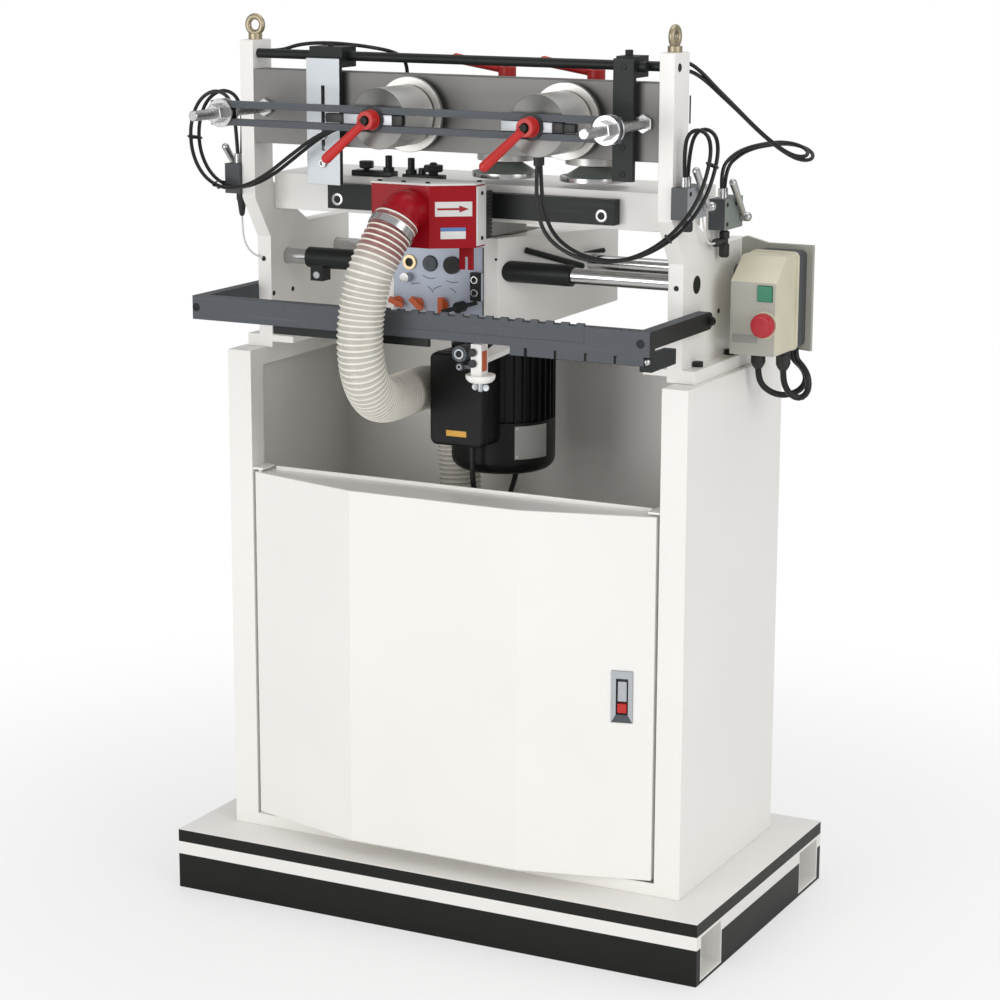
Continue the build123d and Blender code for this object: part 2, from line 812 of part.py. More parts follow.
def cylinder_unit(body, stem_end, plane):
    """Air cylinder on a plane whose Z runs from the stem through the body, with the body starting at zero."""
    unit = plane * Cylinder(CYL_R, body, align=BOTTOM)
    spacer = Pos(0, 0, -CYL_STAND + SLIDE_GAP) * Cylinder(2 * STEM_R, CYL_STAND - SLIDE_GAP, align=BOTTOM)
    unit += plane * spacer
    unit += plane * Pos(0, 0, -stem_end) * Cylinder(STEM_R, stem_end, align=BOTTOM)
    depth = PISTON_L + PISTON_SPARE
    return unit - plane * Pos(0, 0, body - depth) * Cylinder(PISTON_R + RUN_GAP, depth + 1, align=BOTTOM)


def front_plane(x):
    return Plane(origin=(x, CYL_FRONT, CLAMP_Z), x_dir=(1, 0, 0), z_dir=(0, 1, 0))


def rear_plane(x):
    return Plane(origin=(x, REAR_Y, REAR_CYL_TOP), x_dir=(1, 0, 0), z_dir=(0, 0, -1))


def front_cylinder(x, nipples):
    """Front cylinder with its air nipples."""
    unit = cylinder_unit(CYL_L, STEM_L, front_plane(x))
    for start, end in nipples:
        unit += rod(start, end, NIPPLE_R)
    return unit


def front_pad(x):
    """Round pressure pad on its piston rod."""
    pad = rod((x, PAD_FRONT, CLAMP_Z), (x, PAD_FRONT + FRONT_PAD_T, CLAMP_Z), FRONT_PAD_R)
    return pad + rod((x, CYL_BACK - PISTON_L, CLAMP_Z), (x, PAD_FRONT, CLAMP_Z), PISTON_R)


def rear_clamp_frame():
    """Slotted bar on two arms from the back of the beam."""
    high = REAR_BAR_Z + BAR_T
    bar_y = (REAR_Y - BAR_H / 2, REAR_Y + BAR_H / 2)
    frame = block((-REAR_BAR_HALF, REAR_BAR_HALF), bar_y, (REAR_BAR_Z, high))
    inner = REAR_BAR_HALF - REAR_ARM_W
    for side in SIDES:
        arm = (side * inner, side * REAR_BAR_HALF)
        frame += block(arm, (BEAM_BACK, REAR_Y), (REAR_BAR_Z, high))
        frame += block(arm, (BEAM_BACK, BEAM_BACK + BAR_T), (REAR_BAR_Z - REAR_FOOT_H, high))
    slot = (REAR_Y - SLOT_H / 2, REAR_Y + SLOT_H / 2)
    return frame - block((-inner, inner), slot, (REAR_BAR_Z - 1, high + 1))


def rear_cylinder(x):
    return cylinder_unit(REAR_CYL_L, STEM_L, rear_plane(x))


def rear_pad(x):
    """Rimmed pad with a cone, on its piston rod."""
    low = REAR_PAD_TOP - REAR_CONE_T - REAR_RIM_T
    pad = rod((x, REAR_Y, low), (x, REAR_Y, low + REAR_RIM_T), REAR_PAD_R)
    cone = Cone(REAR_PAD_R - REAR_RIM_T, REAR_CONE_R, REAR_CONE_T, align=BOTTOM)
    pad += Pos(x, REAR_Y, low + REAR_RIM_T) * cone
    return pad + rod((x, REAR_Y, REAR_PAD_TOP), (x, REAR_Y, REAR_CYL_LOW + PISTON_L), PISTON_R)


def locking_lever(plane, direction):
    """Hub with a washer, bored for the stem, and a tapered grip; Z of the plane points away from the bar."""
    lever = plane * Cylinder(HUB_WASHER_R, HUB_WASHER_T, align=BOTTOM)
    lever += plane * Cylinder(HUB_R, HUB_T, align=BOTTOM)
    root = plane.origin + plane.z_dir * (HUB_T - HANDLE_ROOT_R)
    lever += handle(root, direction, HANDLE_L, HANDLE_ROOT_R, HANDLE_TIP_R)
    return lever - plane * Pos(0, 0, -1) * Cylinder(STEM_R + RUN_GAP, HUB_T + HANDLE_ROOT_R, align=BOTTOM)


def front_lever(x):
    plane = Plane(origin=(x, BAR_FRONT - SLIDE_GAP, CLAMP_Z), x_dir=(1, 0, 0), z_dir=(0, -1, 0))
    return locking_lever(plane, FRONT_HANDLE)


def rear_lever(x):
    plane = Plane(origin=(x, REAR_Y, REAR_BAR_Z + BAR_T + SLIDE_GAP), x_dir=(1, 0, 0), z_dir=(0, 0, 1))
    return locking_lever(plane, REAR_HANDLE)


# Table, shafts and template

def work_table():
    """Table slab with a deep front apron and an end block at each side plate."""
    table = block((-PLATE_IN, PLATE_IN), (TABLE_FRONT, TABLE_BACK), (TABLE_TOP - TABLE_T, TABLE_TOP))
    table += block((-PLATE_IN, PLATE_IN), (TABLE_FRONT, TABLE_FRONT + APRON_T), (APRON_LOW, TABLE_TOP))
    for side in SIDES:
        ends = (side * TABLE_BLOCK_IN, side * PLATE_IN)
        table += block(ends, (TABLE_FRONT, TABLE_BLOCK_BACK), (APRON_LOW, TABLE_TOP))
    return table


def table_front_bar():
    """Dark bar on the apron and the stop blocks, with knobs, on the table."""
    bar_x = (FRONT_BAR_LEFT, FRONT_BAR_RIGHT)
    pieces = [block(bar_x, (TABLE_FRONT - FRONT_BAR_T, TABLE_FRONT), (FRONT_BAR_LOW, FRONT_BAR_TOP))]
    for x in TABLE_STOP_X:
        sides = (x - TABLE_STOP_W / 2, x + TABLE_STOP_W / 2)
        depth = (TABLE_STOP_Y - TABLE_STOP_D / 2, TABLE_STOP_Y + TABLE_STOP_D / 2)
        top = TABLE_TOP + TABLE_STOP_H
        stop = block(sides, depth, (TABLE_TOP, top))
        pieces.append(stop + rod((x, TABLE_STOP_Y, top), (x, TABLE_STOP_Y, top + TABLE_KNOB_H), TABLE_KNOB_R))
    return Compound(pieces)


def guide_shafts():
    reach = PLATE_OUT - SHAFT_INSET
    return Compound([rod((-reach, y, SHAFT_Z), (reach, y, SHAFT_Z), SHAFT_R) for y in SHAFT_Y])


def comb_plate_x():
    last = COMB_FIRST_X + (COMB_COUNT - 1) * COMB_PITCH
    return (COMB_FIRST_X - FINGER_W / 2, last + FINGER_W / 2)


def template_frame():
    """Front bar with a seat for the comb, two arms, two strips below the bar and a rest at the right."""
    back = TEMPLATE_FRONT + TEMPLATE_T
    frame = block((-TEMPLATE_OUT, TEMPLATE_OUT), (TEMPLATE_FRONT, back), (TEMPLATE_LOW, TEMPLATE_TOP))
    seat_y = (TEMPLATE_FRONT - 1, TEMPLATE_FRONT + COMB_T)
    frame -= block(comb_plate_x(), seat_y, (COMB_LOW, TEMPLATE_TOP + 1))
    for side in SIDES:
        arm = (side * PLATE_OUT, side * TEMPLATE_OUT)
        frame += block(arm, (back, TEMPLATE_BOLT_Y), (TEMPLATE_ARM_LOW, TEMPLATE_TOP))
        ends = [(x, TEMPLATE_BOLT_Y, TEMPLATE_MID) for x in arm]
        frame += rod(*ends, ARM_ROUND)
    under = (STRIP_LOW, TEMPLATE_LOW)
    frame += block(PLAIN_STRIP_X, (TEMPLATE_FRONT + STRIP_T, TEMPLATE_FRONT + 2 * STRIP_T), under)
    frame += block(SLOTTED_STRIP_X, (TEMPLATE_FRONT, TEMPLATE_FRONT + STRIP_T), under)
    for x in STRIP_SLOT_X:
        slot_x = (x - STRIP_SLOT_W / 2, x + STRIP_SLOT_W / 2)
        slot_y = (TEMPLATE_FRONT - 1, TEMPLATE_FRONT + STRIP_T)
        frame -= block(slot_x, slot_y, (STRIP_LOW - 1, STRIP_LOW + STRIP_SLOT_H))
    return frame + block((PLATE_OUT, TEMPLATE_OUT), (REST_FRONT, REST_BACK), (REST_LOW, TEMPLATE_LOW))


def template_comb():
    """Plate in the seat of the front bar, with a row of fingers that stand above it."""
    depth = (TEMPLATE_FRONT, TEMPLATE_FRONT + COMB_T)
    comb = block(comb_plate_x(), depth, (COMB_LOW, TEMPLATE_TOP))
    for index in range(COMB_COUNT):
        x = COMB_FIRST_X + index * COMB_PITCH
        finger_x = (x - FINGER_W / 2, x + FINGER_W / 2)
        comb += block(finger_x, depth, (TEMPLATE_TOP, TEMPLATE_TOP + FINGER_H))
    return comb


# Carriage

def carriage_side(y, inset):
    """X limits of the carriage at a depth, drawn in by a wall."""
    slope = CAR_FLARE / (CAR_BACK - CAR_FRONT)
    grow = slope * (y - CAR_FRONT)
    wall = inset * math.hypot(1, slope)
    return (CAR_LEFT - grow + wall, CAR_RIGHT + grow - wall)


def carriage_plan(inset):
    front = CAR_FRONT + inset
    back = CAR_BACK - inset
    left_front, right_front = carriage_side(front, inset)
    left_back, right_back = carriage_side(back, inset)
    return [(left_front, front), (right_front, front), (right_back, back), (left_back, back)]


def carriage_underside(y):
    """Height of the rising underside behind the front frame."""
    front = CAR_FRONT + CAR_WALL
    return CAR_BOTTOM + CAR_RISE * (y - front) / (CAR_BACK - front)


def carriage_casting():
    """Flared box, open below, with a framed front, bores for the shafts and a roof slot for the head."""
    casting = prism(carriage_plan(0), "z", CAR_BOTTOM, CAR_TOP)
    casting -= prism(carriage_plan(CAR_WALL), "z", CAR_BOTTOM - 1, CAR_TOP - CAR_ROOF)
    front = CAR_FRONT + CAR_WALL
    casting -= block((PANEL_LEFT, PANEL_RIGHT), (CAR_FRONT - 1, front + 1), (PANEL_LOW, PANEL_TOP))
    wedge = [
        (front, CAR_BOTTOM - 1),
        (CAR_BACK + 1, CAR_BOTTOM - 1),
        (CAR_BACK + 1, carriage_underside(CAR_BACK + 1)),
        (front, CAR_BOTTOM),
    ]
    wide = CAR_FLARE + max(-CAR_LEFT, CAR_RIGHT)
    casting -= prism(wedge, "x", -wide - 1, wide + 1)
    slot_x = (RISER_X - RISER_HALF_X - RISER_ROOM, RISER_X + RISER_HALF_X + RISER_ROOM)
    slot_front = RISER_Y - RISER_HALF_Y - RISER_ROOM
    slot_back = RISER_Y + RISER_HALF_Y + HEAD_BACKWARD + RISER_ROOM
    casting -= block(slot_x, (slot_front, slot_back), (CAR_TOP - CAR_ROOF - 1, CAR_TOP + 1))
    for y in SHAFT_Y:
        casting -= rod((-wide, y, SHAFT_Z), (wide, y, SHAFT_Z), SHAFT_R + RUN_GAP)
    return casting


def control_panel():
    """Front panel with its raised fittings, bored for the selectors and the lever."""
    panel = block((PANEL_LEFT, PANEL_RIGHT), (CAR_FRONT, CAR_FRONT + PANEL_T), (PANEL_LOW, PANEL_TOP))

    def boss(x, z, radius, height):
        return rod((x, CAR_FRONT - height, z), (x, CAR_FRONT, z), radius)

    panel += boss(RING_X, PANEL_ROW_Z, RING_R, RING_H) - boss(RING_X, PANEL_ROW_Z, RING_BORE_R, RING_H)
    panel += boss(DISC_X, PANEL_ROW_Z, DISC_R, DISC_H)
    panel += boss(PLUG_X, PANEL_ROW_Z, PLUG_R, PLUG_H)
    panel += boss(PANEL_NUT_X, PANEL_NUT_Z, PANEL_NUT_R, PANEL_NUT_H)
    block_x = (PANEL_RIGHT - PANEL_BLOCK_W, PANEL_RIGHT)
    panel += block(block_x, (CAR_FRONT - PANEL_BLOCK_T, CAR_FRONT), (PANEL_BLOCK_LOW, PANEL_BLOCK_TOP))
    for x in (*SELECTOR_X, PANEL_LEVER_X):
        hole = ((x, CAR_FRONT - 1, SELECTOR_Z), (x, CAR_FRONT + PANEL_T + 1, SELECTOR_Z))
        panel -= rod(*hole, SELECTOR_PIN_R + RUN_GAP)
    return panel


def selector_place(x, turn):
    """Location on a selector's axis: Z out of the panel, X along the pointer."""
    face = Plane(origin=(x, CAR_FRONT - SLIDE_GAP, SELECTOR_Z), x_dir=(1, 0, 0), z_dir=(0, -1, 0))
    return face.location * Rot(0, 0, turn)


def selector_hub(x, turn, thick):
    """Round hub with its pin in the panel."""
    place = selector_place(x, turn)
    hub = place * Cylinder(SELECTOR_R, thick, align=BOTTOM)
    return hub + place * Pos(0, 0, -PANEL_T) * Cylinder(SELECTOR_PIN_R, PANEL_T, align=BOTTOM)


def selector_knob(x, turn):
    """Pointer knob on the panel."""
    pointer = Pos(0, 0, SELECTOR_T) * Box(POINTER_L, POINTER_W, POINTER_T, align=BOTTOM)
    return selector_hub(x, turn, SELECTOR_T) + selector_place(x, turn) * pointer


def panel_lever():
    """Flat bar on a tall hub at the right of the selectors."""
    middle = (PANEL_LEVER_RIGHT - PANEL_LEVER_LEFT) / 2
    length = PANEL_LEVER_RIGHT + PANEL_LEVER_LEFT
    bar = Pos(middle, 0, PANEL_LEVER_HUB_T) * Box(length, PANEL_LEVER_W, PANEL_LEVER_T, align=BOTTOM)
    hub = selector_hub(PANEL_LEVER_X, PANEL_LEVER_TILT, PANEL_LEVER_HUB_T)
    return hub + selector_place(PANEL_LEVER_X, PANEL_LEVER_TILT) * bar


def carriage_sleeves():
    """Sleeves on the front shaft at both sides of the carriage, the left one with a block below."""
    y = SHAFT_Y[0]
    body = prism(carriage_plan(0), "z", CAR_BOTTOM, CAR_TOP)
    sleeve = rod((SLEEVE_LEFT, y, SHAFT_Z), (SLEEVE_RIGHT, y, SHAFT_Z), SLEEVE_R)
    block_x = (SLEEVE_BLOCK_X - SLEEVE_BLOCK_W / 2, SLEEVE_BLOCK_X + SLEEVE_BLOCK_W / 2)
    block_y = (y - SLEEVE_BLOCK_D / 2, y + SLEEVE_BLOCK_D / 2)
    low = SHAFT_Z - SLEEVE_R - SLEEVE_BLOCK_H
    sleeve += block(block_x, block_y, (low, SHAFT_Z))
    sleeve -= body
    return sleeve - rod((SLEEVE_LEFT - 1, y, SHAFT_Z), (SLEEVE_RIGHT + 1, y, SHAFT_Z), SHAFT_R + RUN_GAP)


def cross_rods():
    """Rods along Y on which the head slides: one from the panel, one from the right stile."""
    back = CAR_BACK - CAR_WALL
    starts = (CAR_FRONT + PANEL_T, CAR_FRONT + CAR_WALL)
    ends = [((x, start, CROSS_Z), (x, back, CROSS_Z)) for x, start in zip(CROSS_X, starts)]
    return Compound([rod(*pair, CROSS_R) for pair in ends])


# Head, drive and motor

def head_casting():
    """Slide block on the cross rods, neck down to the motor, riser and belt arm up to the spindle quill."""
    head = block((HEAD_LEFT, HEAD_RIGHT), (HEAD_FRONT, HEAD_REAR), (HEAD_LOW, HEAD_TOP))
    head += rod((HEAD_X, HEAD_Y, MOTOR_TOP), (HEAD_X, HEAD_Y, HEAD_LOW), NECK_R)
    riser_x = (RISER_X - RISER_HALF_X, RISER_X + RISER_HALF_X)
    riser_y = (RISER_Y - RISER_HALF_Y, RISER_Y + RISER_HALF_Y)
    head += block(riser_x, riser_y, (HEAD_TOP, ARM_LOW))
    head += hull_prism([(HEAD_X, HEAD_Y, ARM_R), (SPINDLE_X, SPINDLE_Y, ARM_TIP_R)], ARM_LOW, ARM_TOP)
    head += rod((SPINDLE_X, SPINDLE_Y, ARM_TOP), (SPINDLE_X, SPINDLE_Y, QUILL_TOP), QUILL_R)
    room = [(HEAD_X, HEAD_Y, ARM_R - ARM_WALL), (SPINDLE_X, SPINDLE_Y, ARM_TIP_R - ARM_WALL)]
    head -= hull_prism(room, ARM_LOW + ARM_SKIN, ARM_TOP - ARM_SKIN)
    head -= rod((HEAD_X, HEAD_Y, MOTOR_TOP - 1), (HEAD_X, HEAD_Y, ARM_LOW + ARM_SKIN + 1), DRIVE_BORE_R)
    bore_low = ARM_TOP - ARM_SKIN - 1
    head -= rod((SPINDLE_X, SPINDLE_Y, bore_low), (SPINDLE_X, SPINDLE_Y, QUILL_TOP + 1), SPINDLE_R + RUN_GAP)
    for x in CROSS_X:
        head -= rod((x, HEAD_FRONT - 1, CROSS_Z), (x, HEAD_REAR + 1, CROSS_Z), CROSS_R + RUN_GAP)
    return head


def motor_pulley():
    """Motor shaft with its pulley."""
    shaft = rod((HEAD_X, HEAD_Y, MOTOR_TOP - SHAFT_DEPTH), (HEAD_X, HEAD_Y, PULLEY_TOP), MOTOR_SHAFT_R)
    return shaft + rod((HEAD_X, HEAD_Y, PULLEY_LOW), (HEAD_X, HEAD_Y, PULLEY_TOP), MOTOR_PULLEY_R)


def spindle():
    """Spindle with its pulley, collet nut and dovetail cutter."""
    at = (SPINDLE_X, SPINDLE_Y)
    collet_low = QUILL_TOP + COLLET_GAP
    collet_top = collet_low + COLLET_H
    shank_top = collet_top + CUTTER_SHANK_H
    shape = rod((*at, PULLEY_LOW), (*at, PULLEY_TOP), SPINDLE_PULLEY_R)
    shape += rod((*at, PULLEY_TOP), (*at, collet_low), SPINDLE_R)
    shape += rod((*at, collet_low), (*at, collet_top), COLLET_R)
    shape += rod((*at, collet_top), (*at, shank_top), CUTTER_SHANK_R)
    return shape + Pos(*at, shank_top) * Cone(CUTTER_ROOT_R, CUTTER_TIP_R, CUTTER_H, align=BOTTOM)


def drive_belt():
    """Flat belt round both pulleys."""
    low = PULLEY_LOW + BELT_SPARE
    high = PULLEY_TOP - BELT_SPARE
    inner = [
        (HEAD_X, HEAD_Y, MOTOR_PULLEY_R + SLIDE_GAP),
        (SPINDLE_X, SPINDLE_Y, SPINDLE_PULLEY_R + SLIDE_GAP),
    ]
    outer = [(x, y, radius + BELT_T) for x, y, radius in inner]
    return hull_prism(outer, low, high) - hull_prism(inner, low - 1, high + 1)


def motor_body():
    """Finned body with its flange, fan cover and terminal box as separate solids."""
    at = Pos(HEAD_X, HEAD_Y, MOTOR_LOW)
    core = Circle(MOTOR_R - FIN_H)
    fins = PolarLocations(MOTOR_R - FIN_H / 2 - 1, FIN_COUNT)
    profile = core + [place * Rectangle(FIN_H + 2, FIN_T) for place in fins]
    body = extrude(at * profile, amount=MOTOR_TOP - FLANGE_T - MOTOR_LOW, dir=(0, 0, 1))
    axis = (HEAD_X, HEAD_Y)
    body += rod((*axis, MOTOR_TOP - FLANGE_T), (*axis, MOTOR_TOP), MOTOR_R)
    body -= rod((*axis, MOTOR_TOP - SHAFT_DEPTH - 1), (*axis, MOTOR_TOP + 1), MOTOR_SHAFT_R + 2 * RUN_GAP)
    cover = rod((*axis, FAN_LOW), (*axis, MOTOR_LOW), MOTOR_R)
    cover = fillet(cover.edges().group_by(Axis.Z)[0], FAN_ROUND)
    box = block((TBOX_LEFT, TBOX_RIGHT), (TBOX_FRONT, TBOX_BACK), (TBOX_LOW, TBOX_TOP))
    box = fillet(box.edges().filter_by(Axis.Y), TBOX_ROUND)
    box = fillet(box.faces().sort_by(Axis.Y)[0].edges(), TBOX_ROUND / 2)
    box -= rod((*axis, TBOX_LOW - 1), (*axis, TBOX_TOP + 1), MOTOR_R + SEAT_GAP)
    return Compound([body, cover, box])


def hood_outline(inset):
    """Plan of the hood, open to the back."""
    back = HOOD_BACK if inset == 0 else HOOD_BACK + 1
    turn = math.atan2(HOOD_SIDE_FRONT - HOOD_FRONT, HOOD_RIGHT - HOOD_CORNER)
    corner = HOOD_CORNER - inset * math.tan(turn / 2)
    side_front = HOOD_SIDE_FRONT + inset * math.tan((math.pi / 2 - turn) / 2)
    return [
        (HOOD_LEFT + inset, back),
        (HOOD_LEFT + inset, HOOD_FRONT + inset),
        (corner, HOOD_FRONT + inset),
        (HOOD_RIGHT - inset, side_front),
        (HOOD_RIGHT - inset, back),
    ]


def port_way():
    return Vector(*PORT_DIR).normalized()


def port_end():
    return Vector(*PORT_AT) + port_way() * PORT_L


def port_elbow(start_y, reach, radius):
    """Round elbow: level from a depth to the bend, then along the hose."""
    elbow = rod((PORT_AT[0], start_y, PORT_AT[2]), PORT_AT, radius)
    elbow += Pos(*PORT_AT) * Sphere(radius)
    return elbow + rod(PORT_AT, tuple(Vector(*PORT_AT) + port_way() * reach), radius)


def chip_hood():
    """Sheet hood round the cutter path, with the dust port on its front and a slotted tab below."""
    low = ARM_LOW - SHEET_T
    hood = prism(hood_outline(0), "z", low, HOOD_TOP)
    hood += port_elbow(HOOD_FRONT + SHEET_T, PORT_L, PORT_R)
    hood += rod(tuple(port_end() - port_way() * PORT_RIM_L), tuple(port_end()), PORT_RIM_R)
    hood -= prism(hood_outline(SHEET_T), "z", ARM_LOW, HOOD_TOP - SHEET_T)
    tab_y = (HOOD_BACK - SHEET_T, HOOD_BACK)
    hood += block((TAB_LEFT, TAB_RIGHT), tab_y, (TAB_LOW, ARM_LOW))
    slot_x = ((TAB_LEFT + TAB_RIGHT - TAB_SLOT_W) / 2, (TAB_LEFT + TAB_RIGHT + TAB_SLOT_W) / 2)
    hood -= block(slot_x, (HOOD_BACK - 2 * SHEET_T, HOOD_BACK + 1), (TAB_LOW - 1, TAB_LOW + TAB_SLOT_H))
    return hood - port_elbow(HOOD_FRONT + 2 * SHEET_T, 2 * PORT_L, PORT_R - PORT_WALL)


def chip_curtain():
    """Slit rubber strips on the back edges of the hood's sides."""
    strips = []
    low = ARM_LOW + CURTAIN_LIFT
    pitch = (HOOD_TOP - 2 * CURTAIN_LIFT - low) / CURTAIN_TEETH
    for face, way in ((HOOD_LEFT + SHEET_T, 1), (HOOD_RIGHT - SHEET_T, -1)):
        outline = [(HOOD_BACK - CURTAIN_LIFT, low)]
        for index in range(CURTAIN_TEETH):
            z = low + index * pitch
            outline += [
                (HOOD_BACK + CURTAIN_L, z + 0.1 * pitch),
                (HOOD_BACK + CURTAIN_L, z + 0.8 * pitch),
                (HOOD_BACK + CURTAIN_L / 4, z + 0.95 * pitch),
            ]
        outline.append((HOOD_BACK - CURTAIN_LIFT, low + CURTAIN_TEETH * pitch))
        sides = sorted((face, face + way * CURTAIN_T))
        strips.append(prism(outline, "x", *sides))
    return Compound(strips)


def follower_bracket():
    """Arm from the motor flange under the carriage to the follower, with its two guide bushes."""
    low = MOTOR_TOP
    half = FOLLOWER_W / 2
    front = FOLLOWER_Y - FOLLOWER_D / 2
    back = FOLLOWER_Y + FOLLOWER_D / 2
    arm = [
        (HEAD_X + 0.6 * NECK_R, HEAD_Y - NECK_R),
        (HEAD_X + MOTOR_R - half, HEAD_Y - half),
        (FOLLOWER_X + half, back),
        (FOLLOWER_X + half, front),
        (FOLLOWER_X - half, front),
        (FOLLOWER_X - half, back),
    ]
    shape = prism(arm, "z", low, low + FOLLOWER_ARM_T)
    shape -= rod((HEAD_X, HEAD_Y, low - 1), (HEAD_X, HEAD_Y, low + FOLLOWER_ARM_T + 1), NECK_R)
    shape += block((FOLLOWER_X - half, FOLLOWER_X + half), (front, back), (FOLLOWER_LOW, FOLLOWER_TOP))
    disc = (FOLLOWER_X, FOLLOWER_Y, FOLLOWER_LOW - FOLLOWER_DISC_T)
    shape += rod(disc, (FOLLOWER_X, FOLLOWER_Y, FOLLOWER_LOW), FOLLOWER_DISC_R)
    for radius, z in ((BUSH_R, BUSH_Z), (SMALL_BUSH_R, BUSH_Z - SMALL_BUSH_DROP)):
        bush_front = FOLLOWER_Y - BUSH_L / 2
        shape += rod((BUSH_X, bush_front, z), (BUSH_X, bush_front + BUSH_L, z), radius)
        link_z = (z - SMALL_BUSH_R / 2, z + SMALL_BUSH_R / 2)
        shape += block((BUSH_X, FOLLOWER_X), (front + LINK_INSET, back - LINK_INSET), link_z)
    return shape


# Hose

def dust_hose():
    """Ribbed tube with its bore, from the port to its open end in the cabinet."""
    start = port_end()
    lead = start + port_way() * 2 * HOSE_CREST_R
    points = [tuple(start), tuple(lead), *HOSE_MIDDLE]
    path = route_path(points)
    print(f"dust_hose: length {path.length:.0f}, least radius {min(corner_radii(points)):.0f}")
    pitch = path.length / HOSE_RIBS
    rib = ((0.0, HOSE_ROOT_R), (0.3, HOSE_ROOT_R), (0.5, HOSE_CREST_R), (0.8, HOSE_CREST_R))
    stations = [((index + share) * pitch, radius) for index in range(HOSE_RIBS) for share, radius in rib]
    stations.append((path.length, HOSE_ROOT_R))

    def ring(distance, radius):
        share = distance / path.length
        plane = Plane(origin=path @ share, x_dir=(1, 0, 0), z_dir=path % share)
        return plane * Circle(radius)

    outer = loft([ring(*station) for station in stations], ruled=True)
    bore = loft([ring(index * pitch, HOSE_BORE_R) for index in range(HOSE_RIBS + 1)], ruled=True)
    return outer - bore


# Switch, valves, tubes and cords

def switch_cover():
    """Cover with a sloped top and the two button holes."""
    outline = [
        (SWITCH_FRONT, SWITCH_LOW),
        (SWITCH_FRONT, SWITCH_TOP - SWITCH_SLOPE_H),
        (SWITCH_FRONT + SWITCH_SLOPE_D, SWITCH_TOP),
        (SWITCH_COVER_BACK, SWITCH_TOP),
        (SWITCH_COVER_BACK, SWITCH_LOW),
    ]
    cover = prism(outline, "x", SWITCH_LEFT, SWITCH_RIGHT)
    half = START_W / 2 + SLIDE_GAP
    hole_y = (SWITCH_FRONT - 1, SWITCH_FRONT + 2 * START_DEPTH)
    cover -= block((START_X - half, START_X + half), hole_y, (START_Z - half, START_Z + half))
    stem_end = SWITCH_FRONT + STOP_STEM_L
    hole = ((STOP_X, SWITCH_FRONT - 1, STOP_Z), (STOP_X, stem_end, STOP_Z))
    return cover - rod(*hole, STOP_STEM_R + SLIDE_GAP)


def switch_box():
    """Cover, the gasketed base behind it and the two cord glands below."""
    sides = (SWITCH_LEFT - SWITCH_BASE_RIM, SWITCH_RIGHT + SWITCH_BASE_RIM)
    heights = (SWITCH_LOW - SWITCH_BASE_RIM, SWITCH_TOP + SWITCH_BASE_RIM)
    pieces = [switch_cover(), block(sides, (SWITCH_COVER_BACK, SWITCH_BASE_BACK), heights)]
    for x in GLAND_X:
        pieces.append(rod((x, GLAND_Y, SWITCH_LOW - GLAND_H), (x, GLAND_Y, SWITCH_LOW), GLAND_R))
    return Compound(pieces)


def start_button():
    half = START_W / 2
    depth = (SWITCH_FRONT - START_STAND, SWITCH_FRONT + START_DEPTH)
    return block((START_X - half, START_X + half), depth, (START_Z - half, START_Z + half))


def stop_button():
    """Mushroom head on its stem."""
    face = SWITCH_FRONT - STOP_HEAD_GAP
    head = rod((STOP_X, face - STOP_HEAD_T, STOP_Z), (STOP_X, face, STOP_Z), STOP_HEAD_R)
    head = fillet(head.edges().sort_by(Axis.Y)[0], STOP_HEAD_T / 2)
    stem_end = SWITCH_FRONT + STOP_STEM_L - STOP_HEAD_GAP
    return head + rod((STOP_X, face, STOP_Z), (STOP_X, stem_end, STOP_Z), STOP_STEM_R)


VALVES = {
    "left": (-1, VALVE_FRONT_Y, VALVE_FRONT_Z),
    "right": (1, VALVE_FRONT_Y, VALVE_FRONT_Z),
    "side": (1, VALVE_SIDE_Y, VALVE_SIDE_Z),
}


def lever_pivot(name):
    side, y, z = VALVES[name]
    return (side, y + VALVE_L - LEVER_INSET_Y, z + LEVER_INSET_Z)


def valve_bodies():
    """Three valve blocks on the side plates, each with two tube fittings on top."""
    bodies = []
    for name, (side, y, z) in VALVES.items():
        body = block((side * PLATE_OUT, side * VALVE_OUT), (y, y + VALVE_L), (z, z + VALVE_H))
        x = side * (PLATE_OUT + VALVE_T / 2)
        for index in range(2):
            fitting_y = y + FITTING_INSET + index * FITTING_PITCH
            top = z + VALVE_H
            body += rod((x, fitting_y, top), (x, fitting_y, top + FITTING_H), FITTING_R)
        way, pin_y, pin_z = lever_pivot(name)
        deep = way * (VALVE_OUT - LEVER_PIN_L - 1)
        body -= rod((deep, pin_y, pin_z), (way * (VALVE_OUT + 1), pin_y, pin_z), LEVER_PIN_R + RUN_GAP)
        bodies.append(body)
    return Compound(bodies)


def valve_lever(name):
    """Lever with a pivot pin in the valve and a tapered chrome grip."""
    side, y, z = lever_pivot(name)
    face = VALVE_OUT + SLIDE_GAP
    outer = face + LEVER_HUB_T
    lever = rod((VALVE_OUT - LEVER_PIN_L, 0, 0), (face, 0, 0), LEVER_PIN_R)
    lever += rod((face, 0, 0), (outer, 0, 0), LEVER_HUB_R)
    lever += handle(((face + outer) / 2, 0, 0), LEVER_DIR, LEVER_L, LEVER_ROOT_R, LEVER_TIP_R)
    placed = Pos(0, y, z) * lever
    return placed if side > 0 else mirror(placed, about=Plane.YZ)


def valve_fitting(name, index):
    """Top of a valve's tube fitting."""
    side, y, z = VALVES[name]
    x = side * (PLATE_OUT + VALVE_T / 2)
    return (x, y + FITTING_INSET + index * FITTING_PITCH, z + VALVE_H + FITTING_H)


